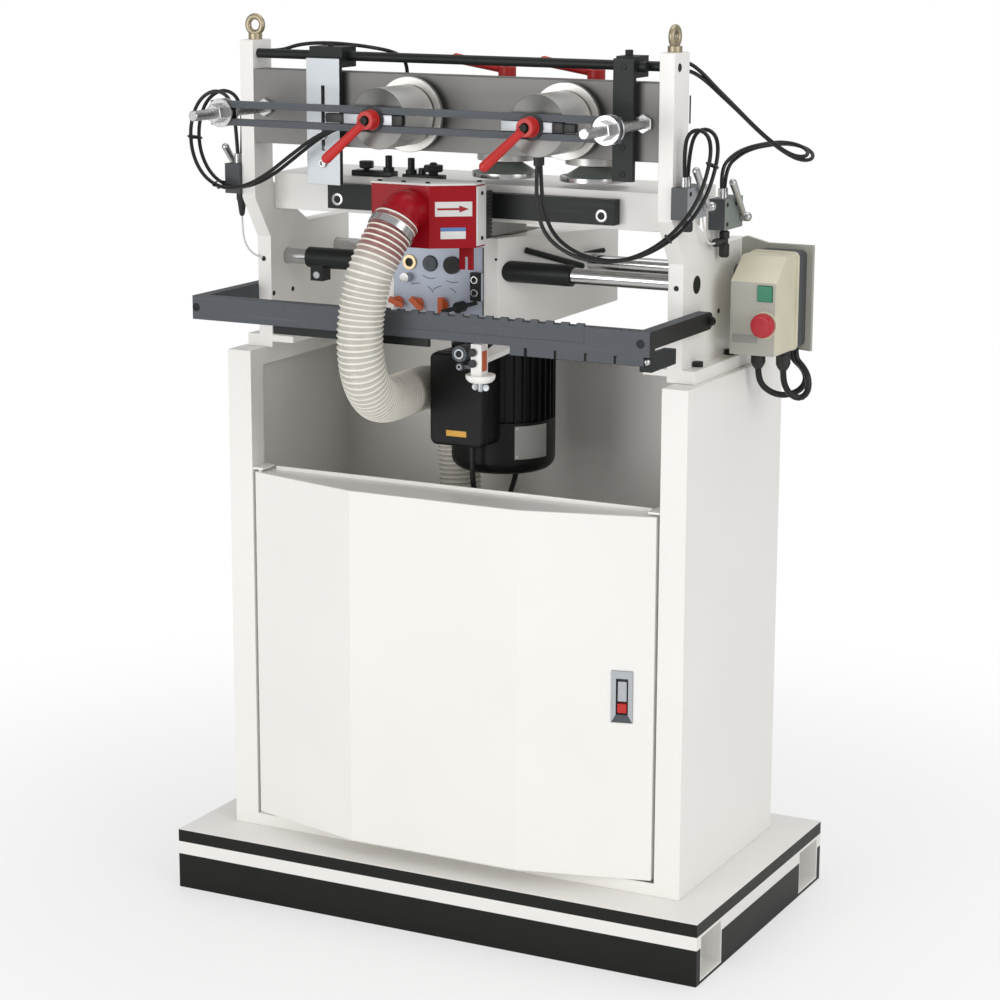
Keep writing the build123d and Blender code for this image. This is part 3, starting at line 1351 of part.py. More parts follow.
# Routes, from the exit to the far end
LEFT_NIPPLE = (FRONT_X[0] - CYL_R - NIPPLE_L, -252, 1296)
LEFT_END = valve_fitting("left", 0)
LEFT_ROUTE = (
    LEFT_NIPPLE,
    (-156, -252, 1296),
    (-202, -250, 1275),
    (-248, -246, 1244),
    (-294, -241, 1212),
    (-340, -235, 1190),
    (-386, -227, 1184),
    (-426, -218, 1199),
    (-453, -209, 1231),
    (-464, -200, 1270),
    (-461, -191, 1304),
    (-449, -184, 1326),
    (-427, -179, 1337),
    (-404, -177, 1328),
    (-394, -177, 1302),
    (LEFT_END[0], LEFT_END[1], 1268),
    LEFT_END,
)
RIGHT_NIPPLE = (205, -294, CLAMP_Z - CYL_R - NIPPLE_L)
RIGHT_END = valve_fitting("right", 0)
RIGHT_ROUTE = (
    RIGHT_NIPPLE,
    (205, -294, 1222),
    (209, -296, 1186),
    (224, -298, 1153),
    (252, -297, 1131),
    (288, -294, 1119),
    (326, -288, 1117),
    (363, -278, 1126),
    (396, -264, 1146),
    (422, -247, 1174),
    (439, -229, 1208),
    (445, -211, 1244),
    (447, -200, 1278),
    (438, -190, 1301),
    (418, -183, 1309),
    (399, -179, 1300),
    (RIGHT_END[0], RIGHT_END[1], 1268),
    RIGHT_END,
)
SIDE_START_X = PLATE_IN + PLATE_T / 2
SIDE_END = valve_fitting("side", 0)
SIDE_ROUTE = (
    (SIDE_START_X, COLUMN_BACK, 1401),
    (SIDE_START_X, -106, 1401),
    (382, -89, 1385),
    (402, -76, 1361),
    (422, -62, 1338),
    (446, -34, 1304),
    (468, -4, 1275),
    (488, 26, 1255),
    (500, 54, 1252),
    (494, 76, 1260),
    (474, 82, 1268),
    (450, 70, 1272),
    (428, 46, 1269),
    (412, 19, 1264),
    (402, -8, 1255),
    (SIDE_END[0], SIDE_END[1], 1237),
    SIDE_END,
)
TOP_END_Y = REAR_Y - (BAR_H + SLOT_H) / 4
TOP_ROUTE = (
    (-PLATE_IN, -146, 1400),
    (-326, -146, 1400),
    (-296, -143, 1411),
    (-250, -142, 1415),
    (-195, -141, 1413),
    (-150, -138, 1408),
    (-126, -128, 1402),
    (-116, TOP_END_Y, 1388),
    (-116, TOP_END_Y, REAR_BAR_Z + BAR_T),
)
CORD_1 = (
    (GLAND_X[0], GLAND_Y, SWITCH_LOW - GLAND_H),
    (GLAND_X[0], GLAND_Y, 908),
    (438, 42, 889),
    (455, 54, 876),
    (472, 68, 874),
    (488, 82, 882),
    (495, 87, 899),
    (489, 85, 917),
    (470, 79, 933),
    (470, 79, SWITCH_LOW - SWITCH_BASE_RIM),
)
CORD_2 = (
    (GLAND_X[1], GLAND_Y, SWITCH_LOW - GLAND_H),
    (GLAND_X[1], GLAND_Y, 908),
    (478, 40, 889),
    (488, 48, 875),
    (501, 55, 874),
    (509, 60, 887),
    (506, 64, 908),
    (494, 67, 924),
    (482, 68, 933),
    (482, 68, SWITCH_LOW - SWITCH_BASE_RIM),
)
LEAD_X = 8
LEAD_Y = -124
LEAD_ROUTE = (
    (LEAD_X, LEAD_Y, TBOX_LOW),
    (LEAD_X, LEAD_Y, 744),
    (9, -118, 702),
    (8, -98, 668),
    (4, -62, 650),
    (-2, -16, 645),
    (-8, 32, 658),
    (-13, 74, 692),
    (-17, 100, 742),
    (-19, 109, 800),
    (-20, 110, 862),
    (-20, 110, carriage_underside(110 - LEAD_R)),
)


def tube_pair(name, route):
    """Two air tubes side by side along Y."""
    second = shifted(route, (0, FITTING_PITCH, 0))
    return Compound([cord(f"{name} 1", route, TUBE_R), cord(f"{name} 2", second, TUBE_R)])


def nipples(point, direction):
    """Nipple ends at a cylinder: from inside its wall to the start of each tube."""
    ends = [point, shifted([point], (0, FITTING_PITCH, 0))[0]]
    return [(shifted([end], tuple(-2 * NIPPLE_L * way for way in direction))[0], end) for end in ends]


def side_second():
    """Second side tube: starts below the first one and ends behind it."""
    points = []
    for index, point in enumerate(SIDE_ROUTE):
        share = min(max((index - 1) / (len(SIDE_ROUTE) - 3), 0), 1)
        points += shifted([point], (0, FITTING_PITCH * share, FITTING_PITCH * (share - 1)))
    return points


def air_tubes_rear():
    routes = {"side tube 1": SIDE_ROUTE, "side tube 2": side_second(), "top tube": TOP_ROUTE}
    return Compound([cord(name, route, TUBE_R) for name, route in routes.items()])


def switch_cords():
    return Compound([cord("switch cord 1", CORD_1, CORD_R), cord("switch cord 2", CORD_2, CORD_R)])


NODES = {
    "pallet_base": pallet_base(),
    "cabinet_shell": cabinet_shell(),
    "door_panel": door_panel(),
    "latch_plate": latch_plate(),
    "latch_button": latch_button(),
    "side_plate_left": side_plate(-1),
    "side_plate_right": side_plate(1),
    "frame_fasteners": frame_fasteners(),
    "clamp_beam": clamp_beam(),
    "left_edge_stop": left_edge_stop(),
    "right_edge_stop": right_edge_stop(),
    "front_clamp_studs": front_clamp_studs(),
    "front_clamp_bar": front_clamp_bar(),
    "front_cylinder_left": front_cylinder(FRONT_X[0], nipples(LEFT_NIPPLE, (-1, 0, 0))),
    "front_cylinder_right": front_cylinder(FRONT_X[1], nipples(RIGHT_NIPPLE, (0, 0, -1))),
    "rear_clamp_frame": rear_clamp_frame(),
    "work_table": work_table(),
    "table_front_bar": table_front_bar(),
    "guide_shafts": guide_shafts(),
    "template_frame": template_frame(),
    "template_comb": template_comb(),
    "carriage_casting": carriage_casting(),
    "control_panel": control_panel(),
    "panel_lever": panel_lever(),
    "carriage_sleeves": carriage_sleeves(),
    "cross_rods": cross_rods(),
    "head_casting": head_casting(),
    "motor_pulley": motor_pulley(),
    "spindle": spindle(),
    "drive_belt": drive_belt(),
    "motor_body": motor_body(),
    "chip_hood": chip_hood(),
    "chip_curtain": chip_curtain(),
    "follower_bracket": follower_bracket(),
    "dust_hose": dust_hose(),
    "switch_box": switch_box(),
    "start_button": start_button(),
    "stop_button": stop_button(),
    "valve_bodies": valve_bodies(),
    "air_tube_left": tube_pair("left tube", LEFT_ROUTE),
    "air_tube_right": tube_pair("right tube", RIGHT_ROUTE),
    "air_tubes_rear": air_tubes_rear(),
    "switch_cords": switch_cords(),
    "motor_cord": cord("motor cord", LEAD_ROUTE, LEAD_R),
}
for label, front, rear in (("left", FRONT_X[0], REAR_X[0]), ("right", FRONT_X[1], REAR_X[1])):
    NODES[f"front_pad_{label}"] = front_pad(front)
    NODES[f"front_lever_{label}"] = front_lever(front)
    NODES[f"rear_cylinder_{label}"] = rear_cylinder(rear)
    NODES[f"rear_pad_{label}"] = rear_pad(rear)
    NODES[f"rear_lever_{label}"] = rear_lever(rear)
for label, x, turn in zip(("left", "middle", "right"), SELECTOR_X, SELECTOR_TURN):
    NODES[f"selector_knob_{label}"] = selector_knob(x, turn)
for label in VALVES:
    NODES[f"valve_lever_{label}"] = valve_lever(label)

os.makedirs("parts", exist_ok=True)
for name, shape in NODES.items():
    export_step(shape, f"parts/{name}.step")
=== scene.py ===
import math

import bmesh
import bpy
from bpy.props import FloatProperty, FloatVectorProperty, IntProperty, PointerProperty
from mathutils import Matrix, Vector


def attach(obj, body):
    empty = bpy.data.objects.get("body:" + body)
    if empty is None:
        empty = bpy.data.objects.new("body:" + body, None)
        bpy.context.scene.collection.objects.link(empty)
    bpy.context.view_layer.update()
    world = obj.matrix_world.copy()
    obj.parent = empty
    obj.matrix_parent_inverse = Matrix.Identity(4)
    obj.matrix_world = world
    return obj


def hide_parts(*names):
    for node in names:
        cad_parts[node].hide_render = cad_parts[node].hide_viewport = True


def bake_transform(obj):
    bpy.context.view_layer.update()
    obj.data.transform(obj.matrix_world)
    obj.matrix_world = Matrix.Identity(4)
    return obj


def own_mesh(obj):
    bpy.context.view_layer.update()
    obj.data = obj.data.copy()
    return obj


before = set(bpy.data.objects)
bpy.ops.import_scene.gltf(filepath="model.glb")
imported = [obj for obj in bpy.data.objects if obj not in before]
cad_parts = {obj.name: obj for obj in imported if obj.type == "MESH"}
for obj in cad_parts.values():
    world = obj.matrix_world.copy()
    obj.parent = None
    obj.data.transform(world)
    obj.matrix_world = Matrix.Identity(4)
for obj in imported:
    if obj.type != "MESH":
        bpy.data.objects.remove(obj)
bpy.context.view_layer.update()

bl_info = {
    "name": "Dovetail machine looks",
    "version": (1, 0, 0),
    "blender": (4, 5, 0),
    "location": "View3D > Sidebar > Dovetail machine",
    "description": "Finishes, trim, hoses and stage for the packed dovetail machine",
    "category": "Object",
}


# Properties

def paint_of(name, description, red, green, blue):
    """Colour property from screen values of 0 to 255."""
    linear = [((v / 255 + 0.055) / 1.055) ** 2.4 for v in (red, green, blue)]
    return FloatVectorProperty(
        name=name, description=description, subtype="COLOR", size=3, min=0, max=1, default=linear
    )


def length_of(name, description, value):
    return FloatProperty(name=name, description=description, default=value, min=0, unit="LENGTH")


def power_of(name, description, value):
    return FloatProperty(name=name, description=description, default=value, unit="POWER")


class MachineColours(bpy.types.PropertyGroup):
    """Colours of the paints, metals and plastics."""

    white: paint_of("White paint", "Cabinet, plates, table and carriage", 245, 243, 239)
    black_band: paint_of("Base band", "Dark bands round the base", 20, 22, 18)
    red: paint_of("Red paint", "Chip hood and its port", 158, 10, 26)
    dark_steel: paint_of("Dark steel", "Template and clamp bars", 86, 90, 95)
    black_steel: paint_of("Black steel", "Sleeves, rods, stops and bolts", 34, 38, 36)
    beam_steel: paint_of("Ground steel", "Clamp beam", 125, 124, 122)
    zinc: paint_of("Zinc plate", "Left edge stop and small plates", 190, 194, 198)
    chrome: paint_of("Chrome", "Shafts, studs and levers", 200, 200, 200)
    aluminium: paint_of("Aluminium", "Air cylinders", 198, 197, 193)
    yellow_zinc: paint_of("Yellow zinc", "Lifting eyes", 176, 164, 140)
    brass: paint_of("Brass", "Rings and fittings", 222, 196, 158)
    motor_black: paint_of("Motor enamel", "Motor and terminal box", 18, 19, 19)
    cast_grey: paint_of("Cast grey", "Head casting", 150, 150, 146)
    panel: paint_of("Panel grey", "Front panel of the carriage", 178, 186, 201)
    black_plastic: paint_of("Black plastic", "Knobs, glands and ties", 30, 31, 31)
    red_plastic: paint_of("Red plastic", "Locking levers and the latch button", 190, 34, 31)
    stop_red: paint_of("Stop red", "Mushroom stop button", 178, 26, 42)
    orange: paint_of("Orange plastic", "Selector knobs", 196, 92, 46)
    green: paint_of("Green plastic", "Start button", 46, 128, 98)
    beige: paint_of("Beige plastic", "Switch cover", 210, 205, 182)
    switch_grey: paint_of("Switch plate", "Front plate of the switch", 172, 171, 161)
    rubber: paint_of("Rubber", "Gaskets, belt and curtain", 44, 44, 43)
    tube: paint_of("Air tube", "Air tubes and leads", 17, 17, 17)
    hose: paint_of("Hose wall", "Clear dust hose", 230, 226, 215)
    valve_grey: paint_of("Valve grey", "Outer halves of the valves", 124, 132, 125)
    valve_dark: paint_of("Valve dark", "Inner halves of the valves", 62, 66, 70)
    label: paint_of("Label", "Bare label plates", 226, 226, 224)
    label_blue: paint_of("Blue label", "Upper bare plate on the hood", 89, 130, 188)
    label_yellow: paint_of("Yellow label", "Bare tag on the terminal box", 225, 170, 70)


class MachineSizes(bpy.types.PropertyGroup):
    """Sizes of the edges and cords, and the strength of the lights."""

    sheet_edge: length_of("Sheet edge", "Rounding of painted sheet and plate edges", 0.0016)
    steel_edge: length_of("Steel edge", "Rounding of machined edges", 0.0007)
    small_edge: length_of("Small edge", "Rounding of small pieces", 0.0004)
    tube_radius: length_of("Air tube radius", "Radius of the air tubes", 0.003)
    cord_radius: length_of("Switch cord radius", "Radius of the switch cords", 0.005)
    lead_radius: length_of("Motor lead radius", "Radius of the motor lead", 0.0045)
    hose_crest: length_of("Hose crest", "Radius of the hose over its ribs", 0.036)
    hose_root: length_of("Hose root", "Radius of the hose between its ribs", 0.0335)
    hose_bore: length_of("Hose bore", "Inner radius of the hose", 0.031)
    hose_ribs: IntProperty(
        name="Hose ribs", description="Turns of the hose's rib", default=110, min=20, max=200
    )
    key_power: power_of("Key light", "Power of the key light", 80)
    fill_power: power_of("Fill light", "Power of the fill light", 54)
    top_power: power_of("Top light", "Power of the top light", 38)
    sky_level: FloatProperty(name="Sky level", description="Strength of the even light", default=0.52, min=0)


def colours():
    return bpy.context.scene.machine_colours


def sizes():
    return bpy.context.scene.machine_sizes


# Directions, and places in millimetres that several pieces share

SIDES = (-1, 1)
FRONT = (0, -1, 0)
BACK = (0, 1, 0)
UP = (0, 0, 1)
DOWN = (0, 0, -1)
RIGHT = (1, 0, 0)

CLAMP_Z = 1313
STUD_X = 330
BAR_FRONT = -321
BAR_BACK = -309
BEAM_FRONT = -187
FRONT_X = {"left": -60, "right": 208}
REAR_X = {"left": 54, "right": 207}
REAR_Y = -95
PLATE_FACE = 378
BAR_HOLES = ((-223, -149, 1168), (243, -149, 1167))
PANEL_FACE = -113.2
PANEL_HOLES = ((9.8, -121, 1049.8), (9.9, -121, 1029))
BRASS_X = -110
DISC_X = -73
PLUG_X = -33
DIAL_Z = 1070
BUSH = (75, -295, 962)
SMALL_BUSH = (75, -295, 942)
FOLLOWER_X = 105
FOLLOWER_Y = -282
FAN_AXIS = (9, -15)
FAN_RADIUS = 85
VALVE_X = 392
VALVE_CORNERS = {"left": (-1, -195, 1173), "right": (1, -195, 1173), "side": (1, -50, 1143)}
TEE_Y = -17


def facing(way, *points):
    """Places that share a direction."""
    return [(point, way) for point in points]


def outward(x, y, z):
    """Places on both sides of the machine, each facing out."""
    return [((side * x, y, z), (side, 0, 0)) for side in SIDES]


# Turned models: number of sides, then pairs of radius and height in millimetres
TURNED = {
    "hose_band": (56, (36.4, 0), (37.6, 0.4), (37.6, 11.6), (36.4, 12), (35.2, 11.6), (35.2, 0.4)),
    "shaft_end": (40, (14, 0), (14, 0.5), (13.2, 0.9), (11.2, 0.9), (10.8, 0.2), (2, 0.2)),
    "stud": (28, (6.6, 0), (8, 1.6), (8, 213)),
    "nut": (6, (13.6, 0), (15, 1.2), (15, 16.8), (13.6, 18), (8.4, 18)),
    "thin_nut": (6, (13.6, 0), (15, 1), (15, 7), (13.6, 8), (8.4, 8)),
    "washer": (48, (21.4, 0), (22, 0.5), (22, 3.5), (21.4, 4), (8.4, 4)),
    "stop_post": (24, (9, 0), (9, 6), (5.6, 7), (5.6, 24), (4.8, 25)),
    "stop_grip": (10, (5, 0), (5, 2), (11, 3.4), (12, 5), (12, 13), (11, 14.6), (4, 15)),
    "stop_nub": (16, (6, 0), (6, 8), (4.6, 9.6)),
    "stop_star": (8, (8, 0), (8, 4), (15, 5), (16, 7), (16, 14), (15, 15.6), (6, 16), (6, 19), (2, 20)),
    "bar_ring": (32, (10, 0), (10, 0.6), (9.4, 0.9), (6.6, 0.9), (6.4, 0.1)),
    "side_rod": (20, (4.2, 0), (5, 0.8), (5, 121), (4.2, 122)),
    "side_rod_tip": (20, (0.8, 0), (4.2, 42), (3.6, 43)),
    "panel_collar": (32, (6.4, 0), (6.4, 0.9), (5.9, 1.3), (4.4, 1.3), (4.2, 0.3)),
    "panel_plug": (
        40, (11.5, 0), (11.5, 0.5), (9.5, 0.5), (9.2, -1.2), (5, -1.2), (4.6, 0.6), (2.4, 0.6), (2, -2),
    ),
    "panel_disc": (24, (12.6, 0), (12.6, 2.4), (11.8, 3.2), (4.5, 3.2), (4, 2.4), (1, 2.4)),
    "ring_core": (32, (6.9, 0), (6.9, 1.2), (4.6, 1.2), (4.2, -1.4), (1, -1.4)),
    "ball": (24, (1, -6.5), (4, -5.2), (6, -2.6), (6.5, 0), (6, 2.6), (4, 5.2), (1, 6.5)),
    "bush_ring": (32, (8, 0), (8, 1.2), (7.4, 1.7), (5.8, 1.7), (5.4, 0.4)),
    "small_bush_ring": (32, (4, 0), (4, 0.8), (3.6, 1.2), (2.8, 1.2), (2.6, 0.3)),
    "follower_knob": (24, (2.4, 0), (2.4, 1.8), (5.6, 2.3), (6.2, 3.4), (6.2, 6.4), (5.2, 7.6), (1, 8)),
    "bowl": (40, (6, 917.4), (12, 917.8), (18, 919.8), (22, 924), (23.2, 929.6), (22.2, 931), (10, 931)),
    "wing_stem": (20, (4.2, 0), (4.2, 12), (3.2, 13.4)),
    "wing_lobe": (24, (4.6, -1.6), (5.4, -0.8), (5.4, 0.8), (4.6, 1.6), (2, 1.2)),
    "lever_cap": (28, (7, 0), (7, 1), (6.2, 3.6), (4, 5.4), (1, 6)),
    "valve_knob": (28, (4, 0), (4, 4), (7.4, 5), (8, 7), (8, 17), (6.6, 20), (1, 20.6)),
    "tee_stem": (28, (5, 0), (5, 4), (8, 5), (8, 15), (6, 16), (6, 24), (8, 25), (8, 42), (6, 45)),
    "tee_arm": (28, (5.5, 0), (5.5, 26), (6.6, 27), (6.6, 36), (4, 39)),
    "valve_cone": (28, (8.6, 0), (8.6, 12), (7.4, 14), (4.4, 36), (2.6, 39)),
    "gland": (12, (12, 0), (12, 6), (10.4, 7), (11.6, 9), (11.6, 23), (9.6, 28), (6.2, 33)),
    "stop_collar": (40, (21, 0), (21, 2.4), (20, 3.4), (12, 3.4)),
}

# Cap screws: body, finish, radius and height of the head, then each head's seat and direction
SCREWS = {
    "bolt_sockets": (
        "frame", "black_steel", 5.6, 4.4,
        *facing(UP, *((side * 386, y, 942) for side in SIDES for y in (-98, 30))),
        *outward(402, -84, 1007.75),
    ),
    "set_screws": (
        "frame", "black_steel", 4.2, 0.8, *facing(FRONT, (-367, -143, 1063), (367, -143, 1063)),
        *facing(RIGHT, (-353, -76.4, 1005.8), (-353, -135.9, 1006), (PLATE_FACE, -0.7, 1011)),
    ),
    "rod_ends": ("frame", "black_steel", 6.6, 0.8, *outward(PLATE_FACE, -170, 1396)),
    "stop_left_screws": (
        "left_edge_stop", "chrome", 7, 5, *facing(FRONT, *((-214, -206, z) for z in (1274.6, 1231))),
    ),
    "stop_left_cap": ("left_edge_stop", "black_steel", 4.5, 3, ((-214, -180, 1412), UP)),
    "stop_right_screws": (
        "right_edge_stop", "black_steel", 4.6, 1.6,
        *facing(FRONT, *((303, -206, z) for z in (1396.5, 1278, 1238))),
    ),
    "stop_right_cap": ("right_edge_stop", "black_steel", 6, 9, ((303, -186, 1412), UP)),
    "bar_screws": ("frame", "black_steel", 6.2, 0.8, *facing(FRONT, *BAR_HOLES)),
    "carriage_dot": ("carriage", "black_steel", 2.2, 0.5, ((44.5, -113, 1083.5), FRONT)),
    "sleeve_screw": ("carriage", "zinc_plate", 6, 1.2, ((-291, -103, 1036), FRONT)),
    "panel_screws": ("carriage", "black_steel", 4, 1.6, *facing(FRONT, *PANEL_HOLES)),
    "cover_screws": (
        "head", "black_steel", 3.6, 2.4,
        *facing(UP, *((x, -263, 1215) for x in (-80, -38, 4)), (62, -204, 1215)),
    ),
    "strip_screws": (
        "head", "black_steel", 3.2, 1.4, *facing(RIGHT, *((70.4, -211.5, z) for z in (1130, 1199))),
    ),
    "template_screws": (
        "frame", "black_steel", 6.5, 1.2, *facing(FRONT, *((x, -309, 1003) for x in (-391, 383))),
    ),
    "bush_screw": ("head", "black_steel", 5.2, 1.2, (BUSH, FRONT)),
    "small_bush_screw": ("head", "black_steel", 2.5, 0.9, (SMALL_BUSH, FRONT)),
}

# Plain blocks: body, finish, lowest and highest corner, and rounding
BLOCKS = {
    "door_lip": ("door", "white_paint", (-340, -158.5, 715.5), (340, -155.2, 722), 0.9),
    "column_slot": ("frame", "black_steel", (377.7, -131, 1311), (378.9, -127, 1353), 0.4),
    "panel_seam": ("carriage", "black_steel", (20.9, -113.7, 992.4), (22.6, -112.8, 1100.6), 0.2),
    "terminal_tag": ("head", "label_yellow", (-25, -150.5, 800.8), (11, -149.6, 810.2), 0.2),
    "hood_strip": ("head", "label_plate", (68, -226, 1119), (70.4, -197, 1210), 0.5),
    "follower_tag": ("head", "label_orange", (111.8, -290.5, 937), (112.5, -275, 968), 0.2),
    "switch_tag": ("frame", "cast_grey", (419, -42.6, 971), (460, -41.8, 984), 0.2),
}


# Shader expressions

def maths(operation, swapped=False):
    """Method that puts a value and another one through a maths node."""
    def run(self, other=0.0):
        first, second = (other, self) if swapped else (self, other)
        return self.owner.node("ShaderNodeMath", {"operation": operation}, {0: first, 1: second})
    return run


class Value:
    """A shader socket that can stand in a sum."""

    def __init__(self, owner, output):
        self.owner = owner
        self.output = output

    __add__ = maths("ADD")
    __radd__ = maths("ADD", True)
    __sub__ = maths("SUBTRACT")
    __rsub__ = maths("SUBTRACT", True)
    __mul__ = maths("MULTIPLY")
    __rmul__ = maths("MULTIPLY", True)
    __abs__ = maths("ABSOLUTE")
    root = maths("SQRT")
    sine = maths("SINE")
    angle = maths("ARCTAN2")


class Shading:
    """A node tree that is written as sums."""

    def __init__(self, tree):
        self.tree = tree

    def node(self, kind, settings=None, inputs=None, output=0):
        """Add a node: its settings first, then the values or links of its sockets."""
        made = self.tree.nodes.new(kind)
        for key, value in (settings or {}).items():
            setattr(made, key, value)
        for key, value in (inputs or {}).items():
            self.feed(made.inputs[key], value)
        return Value(self, made.outputs[output])

    def feed(self, socket, value):
        if isinstance(value, Value):
            self.tree.links.new(value.output, socket)
        elif socket.type == "RGBA":
            socket.default_value = (*value, 1)
        else:
            socket.default_value = value

    def seen(self):
        """One where the camera looks, straight or through a clear piece."""
        path = self.node("ShaderNodeLightPath").output.node
        return Value(self, path.outputs["Is Camera Ray"]) + Value(self, path.outputs["Is Transmission Ray"])

    def show(self, factor, first, second, output):
        """Send a mix of two shaders to the tree's output."""
        mixed = self.node("ShaderNodeMixShader", None, {0: factor, 1: first, 2: second})
        self.tree.links.new(mixed.output, self.tree.nodes[output].inputs["Surface"])


class Finish(Shading):
    """One material and the nodes that make it."""

    def __init__(self, name):
        self.material = bpy.data.materials.new(name)
        self.material.use_nodes = True
        super().__init__(self.material.node_tree)
        self.shader = self.tree.nodes["Principled BSDF"]

    def place(self):
        """Object coordinates as a vector."""
        return self.node("ShaderNodeTexCoord", output="Object")

    def axes(self, vector):
        """The three parts of a vector."""
        split = self.node("ShaderNodeSeparateXYZ", None, {0: vector}).output.node
        return [Value(self, output) for output in split.outputs]

    def attribute(self, name):
        return self.node("ShaderNodeAttribute", {"attribute_name": name}, output="Fac")

    def stretched(self, scale):
        """Object coordinates scaled by axis."""
        return self.node("ShaderNodeMapping", None, {"Vector": self.place(), "Scale": scale})

    def noise(self, vector, scale, detail=2.0, rough=0.5):
        inputs = {"Vector": vector, "Scale": scale, "Detail": detail, "Roughness": rough}
        return self.node("ShaderNodeTexNoise", None, inputs)

    def step(self, value, low, high):
        """Smooth step from 0 at low to 1 at high."""
        inputs = {"Value": value, "From Min": low, "From Max": high}
        return self.node("ShaderNodeMapRange", {"interpolation_type": "SMOOTHSTEP"}, inputs)

    def edge(self, value, at, soft):
        """Smooth step from 0 to 1 around one place."""
        return self.step(value, at - soft, at + soft)

    def between(self, value, low, high, soft):
        """One inside two limits, zero outside."""
        return self.edge(value, low, soft) * (1 - self.edge(value, high, soft))

    def mix(self, factor, first, second):
        """Blend of two colours."""
        made = self.tree.nodes.new("ShaderNodeMix")
        made.data_type = "RGBA"
        for index, value in ((0, factor), (6, first), (7, second)):
            self.feed(made.inputs[index], value)
        return Value(self, made.outputs[2])

    def bump(self, height, distance, strength=0.5):
        inputs = {"Height": height, "Distance": distance, "Strength": strength}
        self.feed(self.shader.inputs["Normal"], self.node("ShaderNodeBump", None, inputs))

    def surface(self, **values):
        """Set the main shader's sockets; underscores stand for spaces."""
        for key, value in values.items():
            self.feed(self.shader.inputs[key.replace("_", " ")], value)
        return self.material


def paint(name, share=1.0):
    """One of the colours, darker or lighter by a share."""
    return [min(1.0, channel * share) for channel in getattr(colours(), name)]


# Finishes

def painted(name, colour, rough=0.3, coat=0.25, peel=0.00005, shine=0.5):
    """Sprayed paint: faint clouds, an orange-peel skin and a clear top."""
    f = Finish(name)
    spot = f.place()
    cloud = f.noise(spot, 4.0, 3.0)
    f.bump(f.noise(spot, 520.0, 1.0), peel)
    return f.surface(
        Base_Color=f.mix(cloud, paint(colour, 0.955), paint(colour, 1.03)),
        Roughness=rough + 0.1 * cloud, Coat_Weight=coat, Coat_Roughness=0.2, Specular_IOR_Level=shine,
    )


def metal(name, colour, rough, grain, streak=0.25, cut=0.00003):
    """Worked metal: fine streaks, long where the grain's scale is small."""
    f = Finish(name)
    lines = f.noise(f.stretched(grain), 1.0, 3.0, 0.6)
    cloud = f.noise(f.place(), 14.0, 3.0)
    f.bump(lines, cut, 0.6)
    tone = f.mix(lines * 0.7 + cloud * 0.3, paint(colour, 1 - streak), paint(colour, 1 + streak))
    return f.surface(Base_Color=tone, Roughness=rough + 0.12 * lines + 0.06 * cloud, Metallic=1.0)


def moulded(name, colour, rough=0.4, grain=0.00006):
    """Moulded plastic or rubber: a fine pebbled skin, duller where handled."""
    f = Finish(name)
    spot = f.place()
    cloud = f.noise(spot, 18.0, 2.0)
    f.bump(f.noise(spot, 900.0, 2.0), grain, 0.6)
    tone = f.mix(cloud, paint(colour, 0.88), paint(colour, 1.1))
    return f.surface(Base_Color=tone, Roughness=rough + 0.12 * cloud)


def phosphated(name, colour, rough=0.5):
    """Dark treated steel: fine mottling and faint rubbed streaks along X."""
    f = Finish(name)
    mottle = f.noise(f.place(), 160.0, 4.0, 0.65)
    worn = f.step(f.noise(f.stretched((6.0, 90.0, 240.0)), 1.0, 3.0), 0.55, 0.8)
    f.bump(mottle, 0.00004)
    tone = f.mix(mottle, paint(colour, 0.82), paint(colour, 1.16))
    tone = f.mix(worn * 0.25, tone, paint(colour, 1.5))
    return f.surface(
        Base_Color=tone, Roughness=rough + 0.14 * mottle - 0.12 * worn, Metallic=0.25, Specular_IOR_Level=0.3
    )


UPPER_BAND = (0.0814, 0.1022)
LOWER_BAND_TOP = 0.0598
BASE_TOP = 0.1029
POCKET_RIM_Y = (0.1695, 0.2545)
POCKET_RIM_Z = (0.0055, 0.0785)
BASE_END = 0.4741
BAND_EDGE = 0.0003
RIM_EDGE = 0.0004
TOP_EDGE = 0.00005


def banded_base(name):
    """White base with two dark bands round it and pale rims at the fork pockets."""
    f = Finish(name)
    spot = f.place()
    x, y, z = f.axes(spot)
    cloud = f.noise(spot, 5.0, 3.0)
    scuff = f.step(f.noise(f.stretched((14.0, 14.0, 120.0)), 1.0, 4.0), 0.6, 0.8)
    bands = f.between(z, *UPPER_BAND, BAND_EDGE) + (1 - f.edge(z, LOWER_BAND_TOP, BAND_EDGE))
    below_top = 1 - f.edge(z, BASE_TOP, TOP_EDGE)
    rim = f.between(abs(y), *POCKET_RIM_Y, RIM_EDGE) * f.between(z, *POCKET_RIM_Z, RIM_EDGE)
    rim = rim * f.edge(abs(x), BASE_END, BAND_EDGE)
    f.bump(f.noise(spot, 480.0, 1.0), 0.00005)
    white = f.mix(cloud, paint("white", 0.94), paint("white"))
    black = f.mix(scuff * 0.5 + cloud * 0.3, paint("black_band"), paint("black_band", 2.2))
    tone = f.mix(bands * below_top * (1 - rim), white, black)
    return f.surface(Base_Color=tone, Roughness=0.34 + 0.1 * cloud, Specular_IOR_Level=0.25)


THREAD_PITCH = 0.002


def threaded(name):
    """Plated stud with a fine thread along Y, painted darker in its grooves as shade."""
    f = Finish(name)
    x, y, z = f.axes(f.place())
    ridge = (y * (2 * math.pi / THREAD_PITCH)).sine() * 0.5 + 0.5
    f.bump(ridge, 0.00015, 0.8)
    # Painted shade: the thread's grooves are made darker in colour
    tone = f.mix(ridge, paint("chrome", 0.55), paint("chrome"))
    return f.surface(Base_Color=tone, Roughness=0.22 + 0.1 * f.noise(f.place(), 60.0, 2.0), Metallic=1.0)


